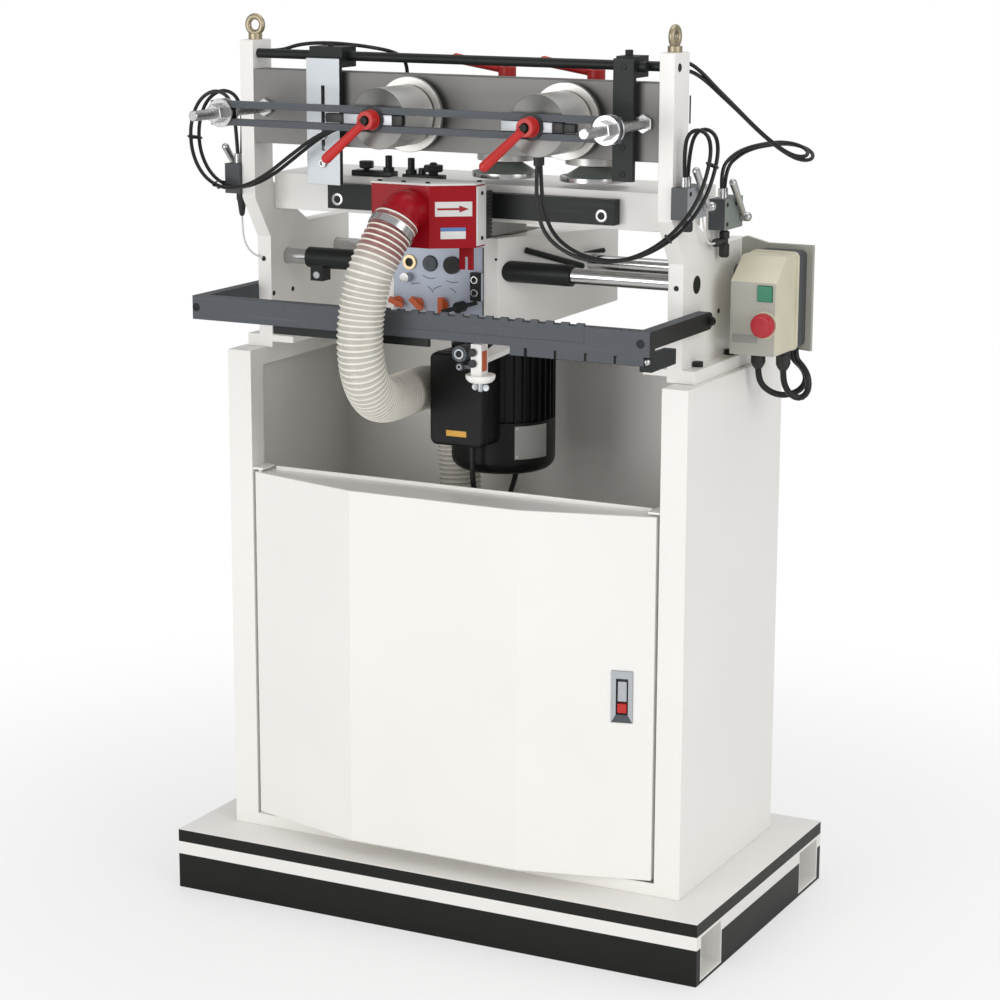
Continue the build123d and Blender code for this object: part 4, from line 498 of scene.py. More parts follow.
# Engraved arcs: X and Z of the centre and radius in metres, then the angles of the two ends
PANEL_ARCS = (
    (-0.094, 1.005, 0.032, 0.6, 1.05),
    (-0.094, 1.005, 0.032, 1.5, 2.0),
    (-0.049, 1.005, 0.03, 0.75, 1.2),
    (-0.049, 1.005, 0.03, 1.7, 2.3),
    (-0.073, 1.07, 0.024, -2.2, -1.2),
    (-0.033, 1.07, 0.028, -2.0, -1.2),
)
ARC_HALF = 0.0006
ENGRAVED = (0.03, 0.035, 0.05)


def panel_face(name):
    """Grey panel with engraved guide arcs round its dials."""
    f = Finish(name)
    spot = f.place()
    x, y, z = f.axes(spot)
    cloud = f.noise(spot, 30.0, 3.0)
    lines = 0.0
    for centre, height, radius, low, high in PANEL_ARCS:
        dx = x - centre
        dz = z - height
        ring = f.between((dx * dx + dz * dz).root(), radius - ARC_HALF, radius + ARC_HALF, 0.0002)
        lines = ring * f.between(dz.angle(dx), low, high, 0.02) + lines
    tone = f.mix(cloud, paint("panel", 0.93), paint("panel", 1.06))
    f.bump(f.noise(spot, 700.0, 2.0) - lines, 0.00006)
    return f.surface(Base_Color=f.mix(lines, tone, ENGRAVED), Roughness=0.34 + 0.1 * cloud, Metallic=0.2)


def hose_wall(name):
    """Clear hose: pale wound rib, darker wall, and the port's red painted onto the wall where it shows
    through.
    """
    f = Finish(name)
    cloud = f.noise(f.place(), 45.0, 3.0)
    # Painted show-through: the wall near the port is tinted red as if the port were seen through it
    over_port = 1 - f.step(f.attribute("along"), 0.05, 0.085)
    rib = f.step(f.attribute("rib"), 0.45, 0.8)
    wall = f.mix(cloud, paint("hose", 0.74), paint("hose", 0.94))
    wall = f.mix(0.8 * over_port, wall, paint("red", 0.8))
    f.bump(cloud, 0.0004, 0.3)
    return f.surface(
        Base_Color=f.mix(rib, wall, paint("hose", 1.1)), Roughness=0.22 + 0.15 * cloud, Coat_Weight=0.4,
        Alpha=0.78 + 0.22 * rib,
    )


def black_tube(name):
    """Glossy tube with faint scuffs along it."""
    f = Finish(name)
    scuff = f.noise(f.place(), 90.0, 3.0)
    ring = (f.attribute("along") * 900.0).sine() * 0.5 + 0.5
    f.bump(scuff, 0.0002, 0.3)
    tone = f.mix(scuff, paint("tube", 0.7), paint("tube", 1.6))
    rough = 0.26 + 0.18 * scuff + 0.02 * ring
    return f.surface(Base_Color=tone, Roughness=rough, Coat_Weight=0.1, Specular_IOR_Level=0.35)


# Scales of the grain along X, Y and Z
GRAIN_X = (8.0, 900.0, 900.0)
GRAIN_Z = (900.0, 900.0, 10.0)
TURNED_Y = (40.0, 2600.0, 40.0)
TURNED_Z = (40.0, 40.0, 2600.0)
EVEN = (300.0, 300.0, 300.0)

# Painted highlights round an axis, as streaks of light and shade: count, phase and weight
SIDE_PAINTED_HIGHLIGHTS = ((3.0, 0.8, 0.3), (7.0, 2.1, 0.14))
FACE_PAINTED_HIGHLIGHTS = ((1.0, 3.3, 0.34), (3.0, 1.0, 0.12))


def spun_with_painted_highlights(name, x, other, upright, painted_highlights=SIDE_PAINTED_HIGHLIGHTS, dark=0.6, bright=1.4, metallic=0.6):
    """Turned aluminium: broad streaks of painted highlight and shade round its axis, and fine tool lines."""
    f = Finish(name)
    place = f.axes(f.place())
    turn = (place[1 if upright else 2] - other / 1000).angle(place[0] - x / 1000)
    # Painted light: the colour is made lighter and darker by the angle round the axis
    streak = 0.5
    for count, phase, weight in painted_highlights:
        streak = (turn * count + phase).sine() * weight + streak
    lines = f.noise(f.stretched(TURNED_Z if upright else TURNED_Y), 1.0, 3.0, 0.6)
    f.bump(lines, 0.00003, 0.6)
    tone = f.mix(streak * 0.75 + lines * 0.25, paint("aluminium", dark), paint("aluminium", bright))
    return f.surface(Base_Color=tone, Roughness=0.28 + 0.14 * lines, Metallic=metallic)


# Each finish: its slot, the function that makes it and the values it takes
FINISHES = {
    "white_paint": ("white_paint", painted, "white"),
    "base_paint": ("base_paint", banded_base),
    "red_paint": ("red_paint", painted, "red", 0.3, 0.06, 0.00005, 0.2),
    "dark_steel": ("dark_steel", phosphated, "dark_steel"),
    "black_steel": ("dark_steel", phosphated, "black_steel", 0.36),
    "ground_steel": ("steel", metal, "beam_steel", 0.42, GRAIN_Z, 0.16),
    "zinc_plate": ("steel", metal, "zinc", 0.4, EVEN, 0.08),
    "chrome_x": ("chrome", metal, "chrome", 0.1, GRAIN_X, 0.12, 0.00001),
    "chrome": ("chrome", metal, "chrome", 0.14, EVEN, 0.12, 0.00001),
    "thread": ("chrome", threaded),
    "turned_y": ("aluminium", metal, "aluminium", 0.28, TURNED_Y, 0.2),
    "yellow_zinc": ("steel", metal, "yellow_zinc", 0.34, EVEN),
    "brass": ("chrome", metal, "brass", 0.28, EVEN, 0.15),
    "motor_enamel": ("motor_black", painted, "motor_black", 0.34, 0.03, 0.00012, 0.2),
    "cast_grey": ("cast", painted, "cast_grey", 0.55, 0.05, 0.0004),
    "panel_face": ("grey_panel", panel_face),
    "black_plastic": ("black_plastic", moulded, "black_plastic"),
    "red_plastic": ("red_plastic", moulded, "red_plastic", 0.32),
    "stop_red": ("red_plastic", moulded, "stop_red", 0.2),
    "orange_plastic": ("orange_plastic", moulded, "orange", 0.34),
    "green_plastic": ("green_plastic", moulded, "green", 0.36),
    "beige_plastic": ("beige_plastic", moulded, "beige", 0.36),
    "switch_plate": ("beige_plastic", moulded, "switch_grey"),
    "rubber": ("rubber", moulded, "rubber", 0.6),
    "black_tube": ("rubber", black_tube),
    "hose_wall": ("hose_plastic", hose_wall),
    "valve_grey": ("aluminium", painted, "valve_grey", 0.4, 0.1),
    "valve_dark": ("dark_steel", painted, "valve_dark", 0.4, 0.1),
    "label_plate": ("aluminium", moulded, "label", 0.4, 0.00002),
    "arrow_red": ("red_paint", moulded, "red", 0.4, 0.00002),
    "label_orange": ("orange_plastic", moulded, "orange", 0.45, 0.00002),
    "label_blue": ("aluminium", moulded, "label_blue", 0.45, 0.00002),
    "label_yellow": ("orange_plastic", moulded, "label_yellow", 0.45, 0.00002),
}
# The cylinders carry painted highlights round their axes; their front faces are painted dark at the top and
# light at the bottom
for label in ("left", "right"):
    front_axis = (FRONT_X[label], CLAMP_Z, False)
    FINISHES[f"spun_front_{label}"] = ("aluminium", spun_with_painted_highlights, *front_axis)
    FINISHES[f"face_front_{label}"] = ("aluminium", spun_with_painted_highlights, *front_axis, FACE_PAINTED_HIGHLIGHTS, 0.05, 0.42, 1.0)
    FINISHES[f"spun_rear_{label}"] = ("aluminium", spun_with_painted_highlights, REAR_X[label], REAR_Y, True)


def finish(name):
    """A material by name, made when first asked for."""
    slot, maker, *values = FINISHES[name]
    return bpy.data.materials.get("looks_" + name) or maker("looks_" + name, *values)


# Modelling helpers

def mm(x, y, z):
    """A point given in millimetres."""
    return Vector((x, y, z)) / 1000


def clear_selection():
    if bpy.context.object and bpy.context.object.mode != "OBJECT":
        bpy.ops.object.mode_set(mode="OBJECT")
    bpy.ops.object.select_all(action="DESELECT")


def activate(piece):
    clear_selection()
    piece.select_set(True)
    bpy.context.view_layer.objects.active = piece


def open_mesh(piece):
    activate(piece)
    bpy.ops.object.mode_set(mode="EDIT")
    bpy.ops.mesh.select_all(action="SELECT")


def close_mesh():
    bpy.ops.object.mode_set(mode="OBJECT")


def face_outward():
    """Turn all faces of the open mesh outward."""
    bpy.ops.mesh.select_all(action="SELECT")
    bpy.ops.mesh.normals_make_consistent(inside=False)


def placed(name, data):
    piece = bpy.data.objects.new(name, data)
    bpy.context.scene.collection.objects.link(piece)
    return piece


def apply_modifier(piece, kind, **settings):
    made = piece.modifiers.new(kind, kind)
    for key, value in settings.items():
        setattr(made, key, value)
    activate(piece)
    bpy.ops.object.modifier_apply(modifier=made.name)


def smooth(piece, angle=35):
    activate(piece)
    bpy.ops.object.shade_smooth_by_angle(angle=math.radians(angle))


def coat(piece, rules):
    """Give each face the first finish whose test passes on its centre, in millimetres, and its normal."""
    piece.data.materials.clear()
    for name, test in rules:
        piece.data.materials.append(finish(name))
    for face in piece.data.polygons:
        middle = face.center * 1000
        for index, (name, test) in enumerate(rules):
            if test is None or test(middle, face.normal):
                face.material_index = index
                break


def settle(piece, body, rules, nodes=()):
    """Finish a piece: its materials, the body it rides on and the nodes it stands for."""
    rules = [(rules, None)] if isinstance(rules, str) else rules
    coat(piece, rules)
    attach(piece, body)
    if nodes:
        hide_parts(*nodes)
    return piece


def dressed(node, name, body, rules, edge, angle=35, soft=30):
    """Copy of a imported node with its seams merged, its edges rounded and its finish on."""
    piece = placed(name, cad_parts[node].data.copy())
    open_mesh(piece)
    bpy.ops.mesh.customdata_custom_splitnormals_clear()
    bpy.ops.mesh.remove_doubles(threshold=0.000002)
    bpy.ops.mesh.dissolve_limited(angle_limit=math.radians(0.4))
    close_mesh()
    if edge:
        apply_modifier(
            piece, "BEVEL", width=edge, segments=2, limit_method="ANGLE",
            angle_limit=math.radians(angle), use_clamp_overlap=False,
        )
    smooth(piece, soft)
    apply_modifier(piece, "WEIGHTED_NORMAL", keep_sharp=True)
    return settle(piece, body, rules, [node])


def turned(steps, *profile):
    """Round piece on the Z axis: a disc extruded through radius and height pairs in millimetres."""
    clear_selection()
    radius, height = profile[0]
    bpy.ops.mesh.primitive_circle_add(vertices=steps, radius=radius / 1000, fill_type="NGON")
    piece = bpy.context.object
    open_mesh(piece)
    bpy.ops.transform.translate(value=(0, 0, height / 1000))
    for (before, low), (after, high) in zip(profile, profile[1:]):
        bpy.ops.mesh.extrude_region_move(TRANSFORM_OT_translate={"value": (0, 0, (high - low) / 1000)})
        bpy.ops.transform.resize(value=(after / before, after / before, 1))
    face_outward()
    close_mesh()
    return piece


def slab(low, high, rounding):
    """Rounded block between two corners in millimetres."""
    clear_selection()
    low = mm(*low)
    high = mm(*high)
    bpy.ops.mesh.primitive_cube_add(size=1, location=(low + high) / 2, scale=high - low)
    piece = bpy.context.object
    bpy.ops.object.transform_apply(location=True, rotation=True, scale=True)
    open_mesh(piece)
    bpy.ops.mesh.bevel(offset=rounding / 1000, segments=2, affect="EDGES")
    close_mesh()
    return piece


def cut_plate(outline, way, rounding):
    """Plate from an outline of points in millimetres, extruded along a vector and rounded."""
    mesh = bpy.data.meshes.new("plate")
    mesh.from_pydata([mm(*point) for point in outline], [], [range(len(outline))])
    piece = placed("plate", mesh)
    open_mesh(piece)
    bpy.ops.mesh.extrude_region_move(TRANSFORM_OT_translate={"value": mm(*way)})
    face_outward()
    bpy.ops.mesh.bevel(offset=rounding / 1000, segments=2, affect="EDGES")
    close_mesh()
    return piece


def aim(at, direction, turn=0.0):
    """Placing matrix with Z along a direction, at a point in millimetres."""
    facing_way = Vector(direction).to_track_quat("Z", "Y").to_matrix().to_4x4()
    return Matrix.Translation(mm(*at)) @ facing_way @ Matrix.Rotation(math.radians(turn), 4, "Z")


def copies(model, places):
    """Copies of a model, each with its own mesh, at places given as aim takes them; the model itself goes."""
    made = []
    for place in places:
        twin = placed("copy", model.data.copy())
        twin.data.transform(aim(*place))
        made.append(twin)
    bpy.data.objects.remove(model)
    return made


def rounds(model, *places):
    """Turned pieces of one model, one at each place."""
    return copies(turned(*TURNED[model]), places)


def joined(name, pieces, angle=35):
    """Several pieces as one, with smooth shading."""
    clear_selection()
    for piece in pieces:
        piece.select_set(True)
    bpy.context.view_layer.objects.active = pieces[0]
    bpy.ops.object.join()
    piece = bpy.context.object
    piece.name = name
    piece.data.name = name
    smooth(piece, angle)
    return piece


def group(name, body, rules, pieces, angle=35, nodes=()):
    """Several pieces joined, named and finished."""
    return settle(joined(name, pieces, angle), body, rules, nodes)


def block(name):
    """One of the plain blocks."""
    body, look, low, high, rounding = BLOCKS[name]
    return group(name, body, look, [slab(low, high, rounding)])


def socket_screw(radius, height):
    """Cap screw on its base, with a socket in the head."""
    lip = 0.12 * radius
    hole = 0.55 * radius
    rim = ((radius, 0), (radius, height - lip), (radius - lip, height))
    return turned(24, *rim, (hole, height), (hole * 0.92, 0.35 * height))


def screw_set(name, body, look, radius, height, *places):
    """Cap screws, one at each place."""
    return group(name, body, look, copies(socket_screw(radius, height), places))


def screws(*names):
    """Some of the sets of cap screws."""
    for name in names:
        screw_set(name, *SCREWS[name])


def trimmed(piece, keep):
    """Remove the corners of a piece that fail a test on their place in millimetres."""
    shape = bmesh.new()
    shape.from_mesh(piece.data)
    gone = [vertex for vertex in shape.verts if not keep(vertex.co * 1000)]
    bmesh.ops.delete(shape, geom=gone, context="VERTS")
    shape.to_mesh(piece.data)
    shape.free()


def rounded_outline(low, high, radius, y):
    """Rectangle with round corners, given by X and Z, at one Y."""
    points = []
    for index, (x, z) in enumerate((high, (low[0], high[1]), low, (high[0], low[1]))):
        x += radius if index in (1, 2) else -radius
        z += radius if index in (2, 3) else -radius
        for step in range(7):
            angle = math.pi / 2 * (index + step / 6)
            points.append((x + radius * math.cos(angle), y, z + radius * math.sin(angle)))
    return points


def bent(piece, centre, radius, heading):
    """Bend a flat piece round an upright cylinder: its X runs round, its Y outwards."""
    open_mesh(piece)
    bpy.ops.mesh.subdivide(number_cuts=7)
    close_mesh()
    for vertex in piece.data.vertices:
        turn = heading - vertex.co.x * 1000 / radius
        reach = radius + vertex.co.y * 1000
        x = centre[0] + reach * math.cos(turn)
        y = centre[1] + reach * math.sin(turn)
        vertex.co = mm(x, y, vertex.co.z * 1000)
    return piece


# Cords and hoses

def line_points(points):
    """Points along the smooth line that has a route's points as its control points."""
    curve = bpy.data.curves.new("line", "CURVE")
    curve.dimensions = "3D"
    curve.resolution_u = 8
    spline = curve.splines.new("NURBS")
    spline.points.add(len(points) - 1)
    for knot, point in zip(spline.points, points):
        knot.co = (*point, 1)
    spline.order_u = 3
    spline.use_endpoint_u = True
    line = placed("line", curve)
    mesh = bpy.data.meshes.new_from_object(line)
    found = [vertex.co.copy() for vertex in mesh.vertices]
    bpy.data.meshes.remove(mesh)
    bpy.data.objects.remove(line)
    return found


def travelled(path):
    """Distance along a path at each of its points."""
    total = [0.0]
    for before, after in zip(path, path[1:]):
        total.append(total[-1] + (after - before).length)
    return total


def heading_at(path, index):
    """Direction of a path at one of its points."""
    return (path[min(index + 1, len(path) - 1)] - path[max(index - 1, 0)]).normalized()


def frames_along(path):
    """Side and up directions carried along a path without twist."""
    side = (path[1] - path[0]).normalized().orthogonal().normalized()
    found = []
    for index in range(len(path)):
        ahead = heading_at(path, index)
        side = (side - ahead * side.dot(ahead)).normalized()
        found.append((side, ahead.cross(side)))
    return found


def plain(radius):
    """Profile of a ring with one radius and no rib."""
    return lambda turn: (radius, 0.0)


def tube(name, path, sides, rings):
    """Tube along a path; each ring has its distance and a profile that gives radius and rib by turn."""
    total = travelled(path)
    turns = frames_along(path)
    points, alongs, ribs = [], [], []
    index = 0
    for distance, profile in rings:
        while index < len(total) - 2 and total[index + 1] < distance:
            index += 1
        share = (distance - total[index]) / (total[index + 1] - total[index])
        middle = path[index].lerp(path[index + 1], share)
        side = turns[index][0].lerp(turns[index + 1][0], share)
        up = turns[index][1].lerp(turns[index + 1][1], share)
        for step in range(sides):
            angle = 2 * math.pi * step / sides
            radius, rib = profile(step / sides)
            points.append(middle + (side * math.cos(angle) + up * math.sin(angle)) * radius)
            alongs.append(distance)
            ribs.append(rib)
    faces = []
    for ring in range(len(rings) - 1):
        for step in range(sides):
            a = ring * sides + step
            b = ring * sides + (step + 1) % sides
            faces.append((a, b, b + sides, a + sides))
    mesh = bpy.data.meshes.new(name)
    mesh.from_pydata(points, [], faces)
    for label, values in (("along", alongs), ("rib", ribs)):
        mesh.attributes.new(label, "FLOAT", "POINT").data.foreach_set("value", values)
    return placed(name, mesh)


def laid_cord(name, node, points, radius, bend=None):
    """Round cord with closed ends along a route, put on the frame unless a bend is given; gives its path."""
    path = line_points(points)
    length = travelled(path)[-1]
    count = max(24, int(length / 0.006))
    rings = [(0.0, plain(radius * 0.05))]
    rings += [(length * index / count, plain(radius)) for index in range(count + 1)]
    rings.append((length, plain(radius * 0.05)))
    piece = tube(name, path, 14, rings)
    open_mesh(piece)
    bpy.ops.mesh.select_mode(type="EDGE")
    bpy.ops.mesh.select_all(action="DESELECT")
    bpy.ops.mesh.select_non_manifold()
    bpy.ops.mesh.fill_holes(sides=0)
    face_outward()
    bpy.ops.mesh.select_mode(type="VERT")
    close_mesh()
    smooth(piece, 50)
    piece.data.materials.append(finish("black_tube"))
    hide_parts(node)
    if bend:
        fixed, moving, start, end = bend
        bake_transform(piece)
        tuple(start)
        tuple(end)
    else:
        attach(piece, "frame")
    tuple(points[0])
    return path


LEFT_ROUTE = (
    (-0.1195, -0.252, 1.296), (-0.156, -0.252, 1.296), (-0.202, -0.25, 1.275), (-0.248, -0.246, 1.244),
    (-0.294, -0.241, 1.212), (-0.34, -0.235, 1.19), (-0.386, -0.227, 1.184), (-0.426, -0.218, 1.199),
    (-0.453, -0.209, 1.231), (-0.464, -0.2, 1.27), (-0.461, -0.191, 1.304), (-0.449, -0.184, 1.326),
    (-0.427, -0.179, 1.337), (-0.404, -0.177, 1.328), (-0.394, -0.177, 1.302), (-0.392, -0.177, 1.268),
    (-0.392, -0.177, 1.236),
)
RIGHT_ROUTE = (
    (0.205, -0.294, 1.2535), (0.205, -0.294, 1.222), (0.209, -0.296, 1.186), (0.224, -0.298, 1.153),
    (0.252, -0.297, 1.131), (0.288, -0.294, 1.119), (0.326, -0.288, 1.117), (0.363, -0.278, 1.126),
    (0.396, -0.264, 1.146), (0.422, -0.247, 1.174), (0.439, -0.229, 1.208), (0.445, -0.211, 1.244),
    (0.447, -0.2, 1.278), (0.438, -0.19, 1.301), (0.418, -0.183, 1.309), (0.399, -0.179, 1.3),
    (0.392, -0.177, 1.268), (0.392, -0.177, 1.236),
)
SIDE_ROUTE = (
    (0.3655, -0.132, 1.401), (0.3655, -0.106, 1.401), (0.382, -0.089, 1.385), (0.402, -0.076, 1.361),
    (0.422, -0.062, 1.338), (0.446, -0.034, 1.304), (0.468, -0.004, 1.275), (0.488, 0.026, 1.255),
    (0.5, 0.054, 1.252), (0.494, 0.076, 1.26), (0.474, 0.082, 1.268), (0.45, 0.07, 1.272),
    (0.428, 0.046, 1.269), (0.412, 0.019, 1.264), (0.402, -0.008, 1.255), (0.392, -0.032, 1.237),
    (0.392, -0.032, 1.206),
)
TOP_ROUTE = (
    (-0.353, -0.146, 1.4), (-0.326, -0.146, 1.4), (-0.296, -0.143, 1.411), (-0.25, -0.142, 1.415),
    (-0.195, -0.141, 1.413), (-0.15, -0.138, 1.408), (-0.126, -0.128, 1.402), (-0.116, -0.10875, 1.388),
    (-0.116, -0.10875, 1.362),
)
CORD_1 = (
    (0.432, 0.036, 0.93), (0.432, 0.036, 0.908), (0.438, 0.042, 0.889), (0.455, 0.054, 0.876),
    (0.472, 0.068, 0.874), (0.488, 0.082, 0.882), (0.495, 0.087, 0.899), (0.489, 0.085, 0.917),
    (0.47, 0.079, 0.933), (0.47, 0.079, 0.95),
)
CORD_2 = (
    (0.474, 0.036, 0.93), (0.474, 0.036, 0.908), (0.478, 0.04, 0.889), (0.488, 0.048, 0.875),
    (0.501, 0.055, 0.874), (0.509, 0.06, 0.887), (0.506, 0.064, 0.908), (0.494, 0.067, 0.924),
    (0.482, 0.068, 0.933), (0.482, 0.068, 0.95),
)
LEAD_ROUTE = (
    (0.008, -0.124, 0.784), (0.008, -0.124, 0.744), (0.009, -0.118, 0.702), (0.008, -0.098, 0.668),
    (0.004, -0.062, 0.65), (-0.002, -0.016, 0.645), (-0.008, 0.032, 0.658), (-0.013, 0.074, 0.692),
    (-0.017, 0.1, 0.742), (-0.019, 0.109, 0.8), (-0.02, 0.11, 0.862), (-0.02, 0.11, 0.993549),
)
HOSE_ROUTE = (
    (-0.026197, -0.304792, 1.16121), (-0.041307, -0.350842, 1.107965), (-0.056, -0.36, 1.042),
    (-0.061, -0.364, 0.982), (-0.062, -0.35, 0.924), (-0.07, -0.306, 0.884), (-0.084, -0.246, 0.868),
    (-0.098, -0.176, 0.863), (-0.11, -0.104, 0.86), (-0.121, -0.034, 0.855), (-0.126, 0.03, 0.832),
    (-0.122, 0.066, 0.778), (-0.118, 0.072, 0.71), (-0.116, 0.07, 0.64), (-0.114, 0.07, 0.572),
)
PIPE_ROUTES = {
    "left": (
        (-0.392, -0.167, 1.138), (-0.392, -0.167, 1.108), (-0.389, -0.161, 1.084), (-0.379, -0.151, 1.068),
        (-0.369, -0.1432, 1.065),
    ),
    "right": (
        (0.392, -0.054, 1.124), (0.392, -0.074, 1.123), (0.392, -0.09, 1.134), (0.392, -0.099, 1.15),
        (0.392, -0.107, 1.174),
    ),
}
PITCH = Vector((0, 0.012, 0))
SPREAD = Vector((0.002, 0.003, 0))


def side_second():
    """Second side tube: starts below the first one and ends behind it."""
    points = []
    for index, (x, y, z) in enumerate(SIDE_ROUTE):
        share = min(max((index - 1) / (len(SIDE_ROUTE) - 3), 0), 1)
        points.append((x, y + PITCH.y * share, z + PITCH.y * (share - 1)))
    return points


def spread(route, index):
    """A route's points moved apart from its twin's, but not at its ends."""
    last = len(route) - 1
    points = []
    for number, point in enumerate(route):
        share = min(1.0, number / 3, (last - number) / 2)
        points.append(Vector(point) + SPREAD * share * (2 * index - 1))
    return points


TIE_RADIUS = 0.0047
TIE_HALF = 0.0138


def tie(name, path, share):
    """Cable tie round a pair of tubes, with its little head."""
    total = travelled(path)
    index = min(range(len(total)), key=lambda spot: abs(total[spot] - share * total[-1]))
    clear_selection()
    bpy.ops.mesh.primitive_torus_add(
        major_radius=TIE_RADIUS, minor_radius=0.0008, major_segments=32, minor_segments=8
    )
    band = bpy.context.object
    open_mesh(band)
    bpy.ops.transform.resize(value=(TIE_HALF / TIE_RADIUS, 1, 2.2))
    close_mesh()
    piece = joined(name, [band, slab((-2.2, 4.4, -2), (2.2, 8.4, 2), 0.6)])
    ahead = heading_at(path, index)
    across = PITCH + SPREAD * 2
    side = (across - ahead * across.dot(ahead)).normalized()
    turn = Matrix((side, ahead.cross(side), ahead)).transposed().to_4x4()
    piece.data.transform(Matrix.Translation(path[index] + across * 0.5) @ turn)
    settle(piece, "frame", "black_plastic")


# Stage

CAMERA_AT = (1.98, -3.8918, 1.6427)
CAMERA_YAW, CAMERA_PITCH, CAMERA_ROLL = (math.radians(angle) for angle in (27.02, 12.58, 0.19))
FOCAL_PIXELS = 2706
PHOTO_PIXELS = 1000
SENSOR_WIDTH = 36
LAMP_TARGET = Vector((0, 0, 0.75))
LAMPS = {"key": ((-1.4, -4.9, 1.5), 2.6), "fill": ((4.0, -1.7, 2.2), 2.6), "top": ((0.2, 0.4, 4.2), 3.0)}
FLOOR_RADIUS = 14
WHITE = (1, 1, 1)


class StageBuild(bpy.types.Operator):
    """Camera, floor, lamps and sky"""

    bl_idname = "dovetail.stage"
    bl_label = "Stage"

    def execute(self, context):
        level = math.cos(CAMERA_PITCH)
        ahead = Vector((-math.sin(CAMERA_YAW) * level, math.cos(CAMERA_YAW) * level, -math.sin(CAMERA_PITCH)))
        right = Vector((math.cos(CAMERA_YAW), math.sin(CAMERA_YAW), 0))
        up = right.cross(ahead)
        tilted_right = right * math.cos(CAMERA_ROLL) + up * math.sin(CAMERA_ROLL)
        tilted_up = up * math.cos(CAMERA_ROLL) - right * math.sin(CAMERA_ROLL)
        lens = bpy.data.cameras.new("camera")
        lens.sensor_width = SENSOR_WIDTH
        lens.lens = FOCAL_PIXELS * SENSOR_WIDTH / PHOTO_PIXELS
        lens.clip_end = 60
        camera = placed("camera", lens)
        turn = Matrix((tilted_right, tilted_up, -ahead)).transposed().to_4x4()
        camera.matrix_world = Matrix.Translation(CAMERA_AT) @ turn
        context.scene.camera = camera
        context.scene.view_settings.view_transform = "Standard"

        clear_selection()
        bpy.ops.mesh.primitive_circle_add(vertices=96, radius=FLOOR_RADIUS, fill_type="NGON")
        floor = context.object
        floor.name = "floor"
        floor.data.materials.append(self.floor_finish())
        for name, (at, width) in LAMPS.items():
            lamp = bpy.data.lights.new(name, "AREA")
            lamp.size = width
            lamp.energy = getattr(sizes(), name + "_power")
            made = placed(name, lamp)
            made.location = at
            made.rotation_euler = (LAMP_TARGET - Vector(at)).to_track_quat("-Z", "Y").to_euler()
        self.sky()
        return {"FINISHED"}

    def floor_finish(self):
        """White floor that keeps the shadow and fades to white further out."""
        f = Finish("floor_white")
        spot = f.place()
        x, y, z = f.axes(spot)
        away = f.step((x * x + y * y).root(), 0.5, 1.8)
        tone = f.mix(f.noise(spot, 60.0, 2.0), (0.88, 0.88, 0.875), (0.92, 0.92, 0.915))
        f.surface(Base_Color=tone, Roughness=0.6)
        glow = f.node("ShaderNodeEmission", None, {"Color": WHITE, "Strength": 1.0})
        matte = Value(f, f.shader.outputs[0])
        f.show(f.seen() * (0.55 + 0.45 * away), matte, glow, "Material Output")
        return f.material

    def sky(self):
        """Even pale light, white where the camera sees it."""
        world = bpy.data.worlds.new("sky")
        bpy.context.scene.world = world
        world.use_nodes = True
        s = Shading(world.node_tree)
        even = s.tree.nodes["Background"]
        s.feed(even.inputs["Color"], WHITE)
        s.feed(even.inputs["Strength"], sizes().sky_level)
        white = s.node("ShaderNodeBackground", None, {"Color": WHITE, "Strength": 1.0})
        s.show(s.seen(), Value(s, even.outputs[0]), white, "World Output")


# Pieces, one operator for each group

class HoseBuild(bpy.types.Operator):
    """Clear ribbed dust hose with its band clamp"""

    bl_idname = "dovetail.hose"
    bl_label = "Dust hose"

    def execute(self, context):
        path = line_points(HOSE_ROUTE)
        length = travelled(path)[-1]
        count = sizes().hose_ribs
        crest, root, bore = sizes().hose_crest, sizes().hose_root, sizes().hose_bore
        sides = 36
        rib_steps = 7
        rib_half = 0.27
        bore_rings = 160

        def ribbed(phase):
            def profile(turn):
                spot = (phase - turn) % 1.0
                rise = max(0.0, 1 - ((spot - 0.5) / rib_half) ** 2)
                return root + (crest - root) * rise ** 0.5, rise
            return profile

        step = length / count / rib_steps
        rings = [(0.0, plain(bore)), (0.0, plain(root))]
        rings += [(index * step, ribbed(index / rib_steps)) for index in range(1, count * rib_steps)]
        rings += [(length, plain(root)), (length, plain(bore))]
        outer = tube("hose_outside", path, sides, rings)
        rings = [(length * index / bore_rings, plain(bore)) for index in range(bore_rings + 1)]
        inner = tube("hose_inside", path, sides, rings)
        inner.data.flip_normals()
        hose = joined("dust_hose_clear", [outer, inner], 60)
        open_mesh(hose)
        bpy.ops.mesh.remove_doubles(threshold=0.000005)
        face_outward()
        close_mesh()
        coat(hose, [("hose_wall", None)])
        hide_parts("dust_hose")
        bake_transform(hose)

        band = [turned(*TURNED["hose_band"]), slab((-8, 36, -1), (8, 44, 13), 1.2)]
        band += copies(socket_screw(3.6, 20), [((-10, 40.5, 6), RIGHT)])
        clamp = joined("hose_band", band)
        ahead = heading_at(path, 0)
        clamp.data.transform(aim((path[0] + ahead * 0.012) * 1000, ahead, 150))
        settle(clamp, "head", "chrome")
        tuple(HOSE_ROUTE[0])
        return {"FINISHED"}


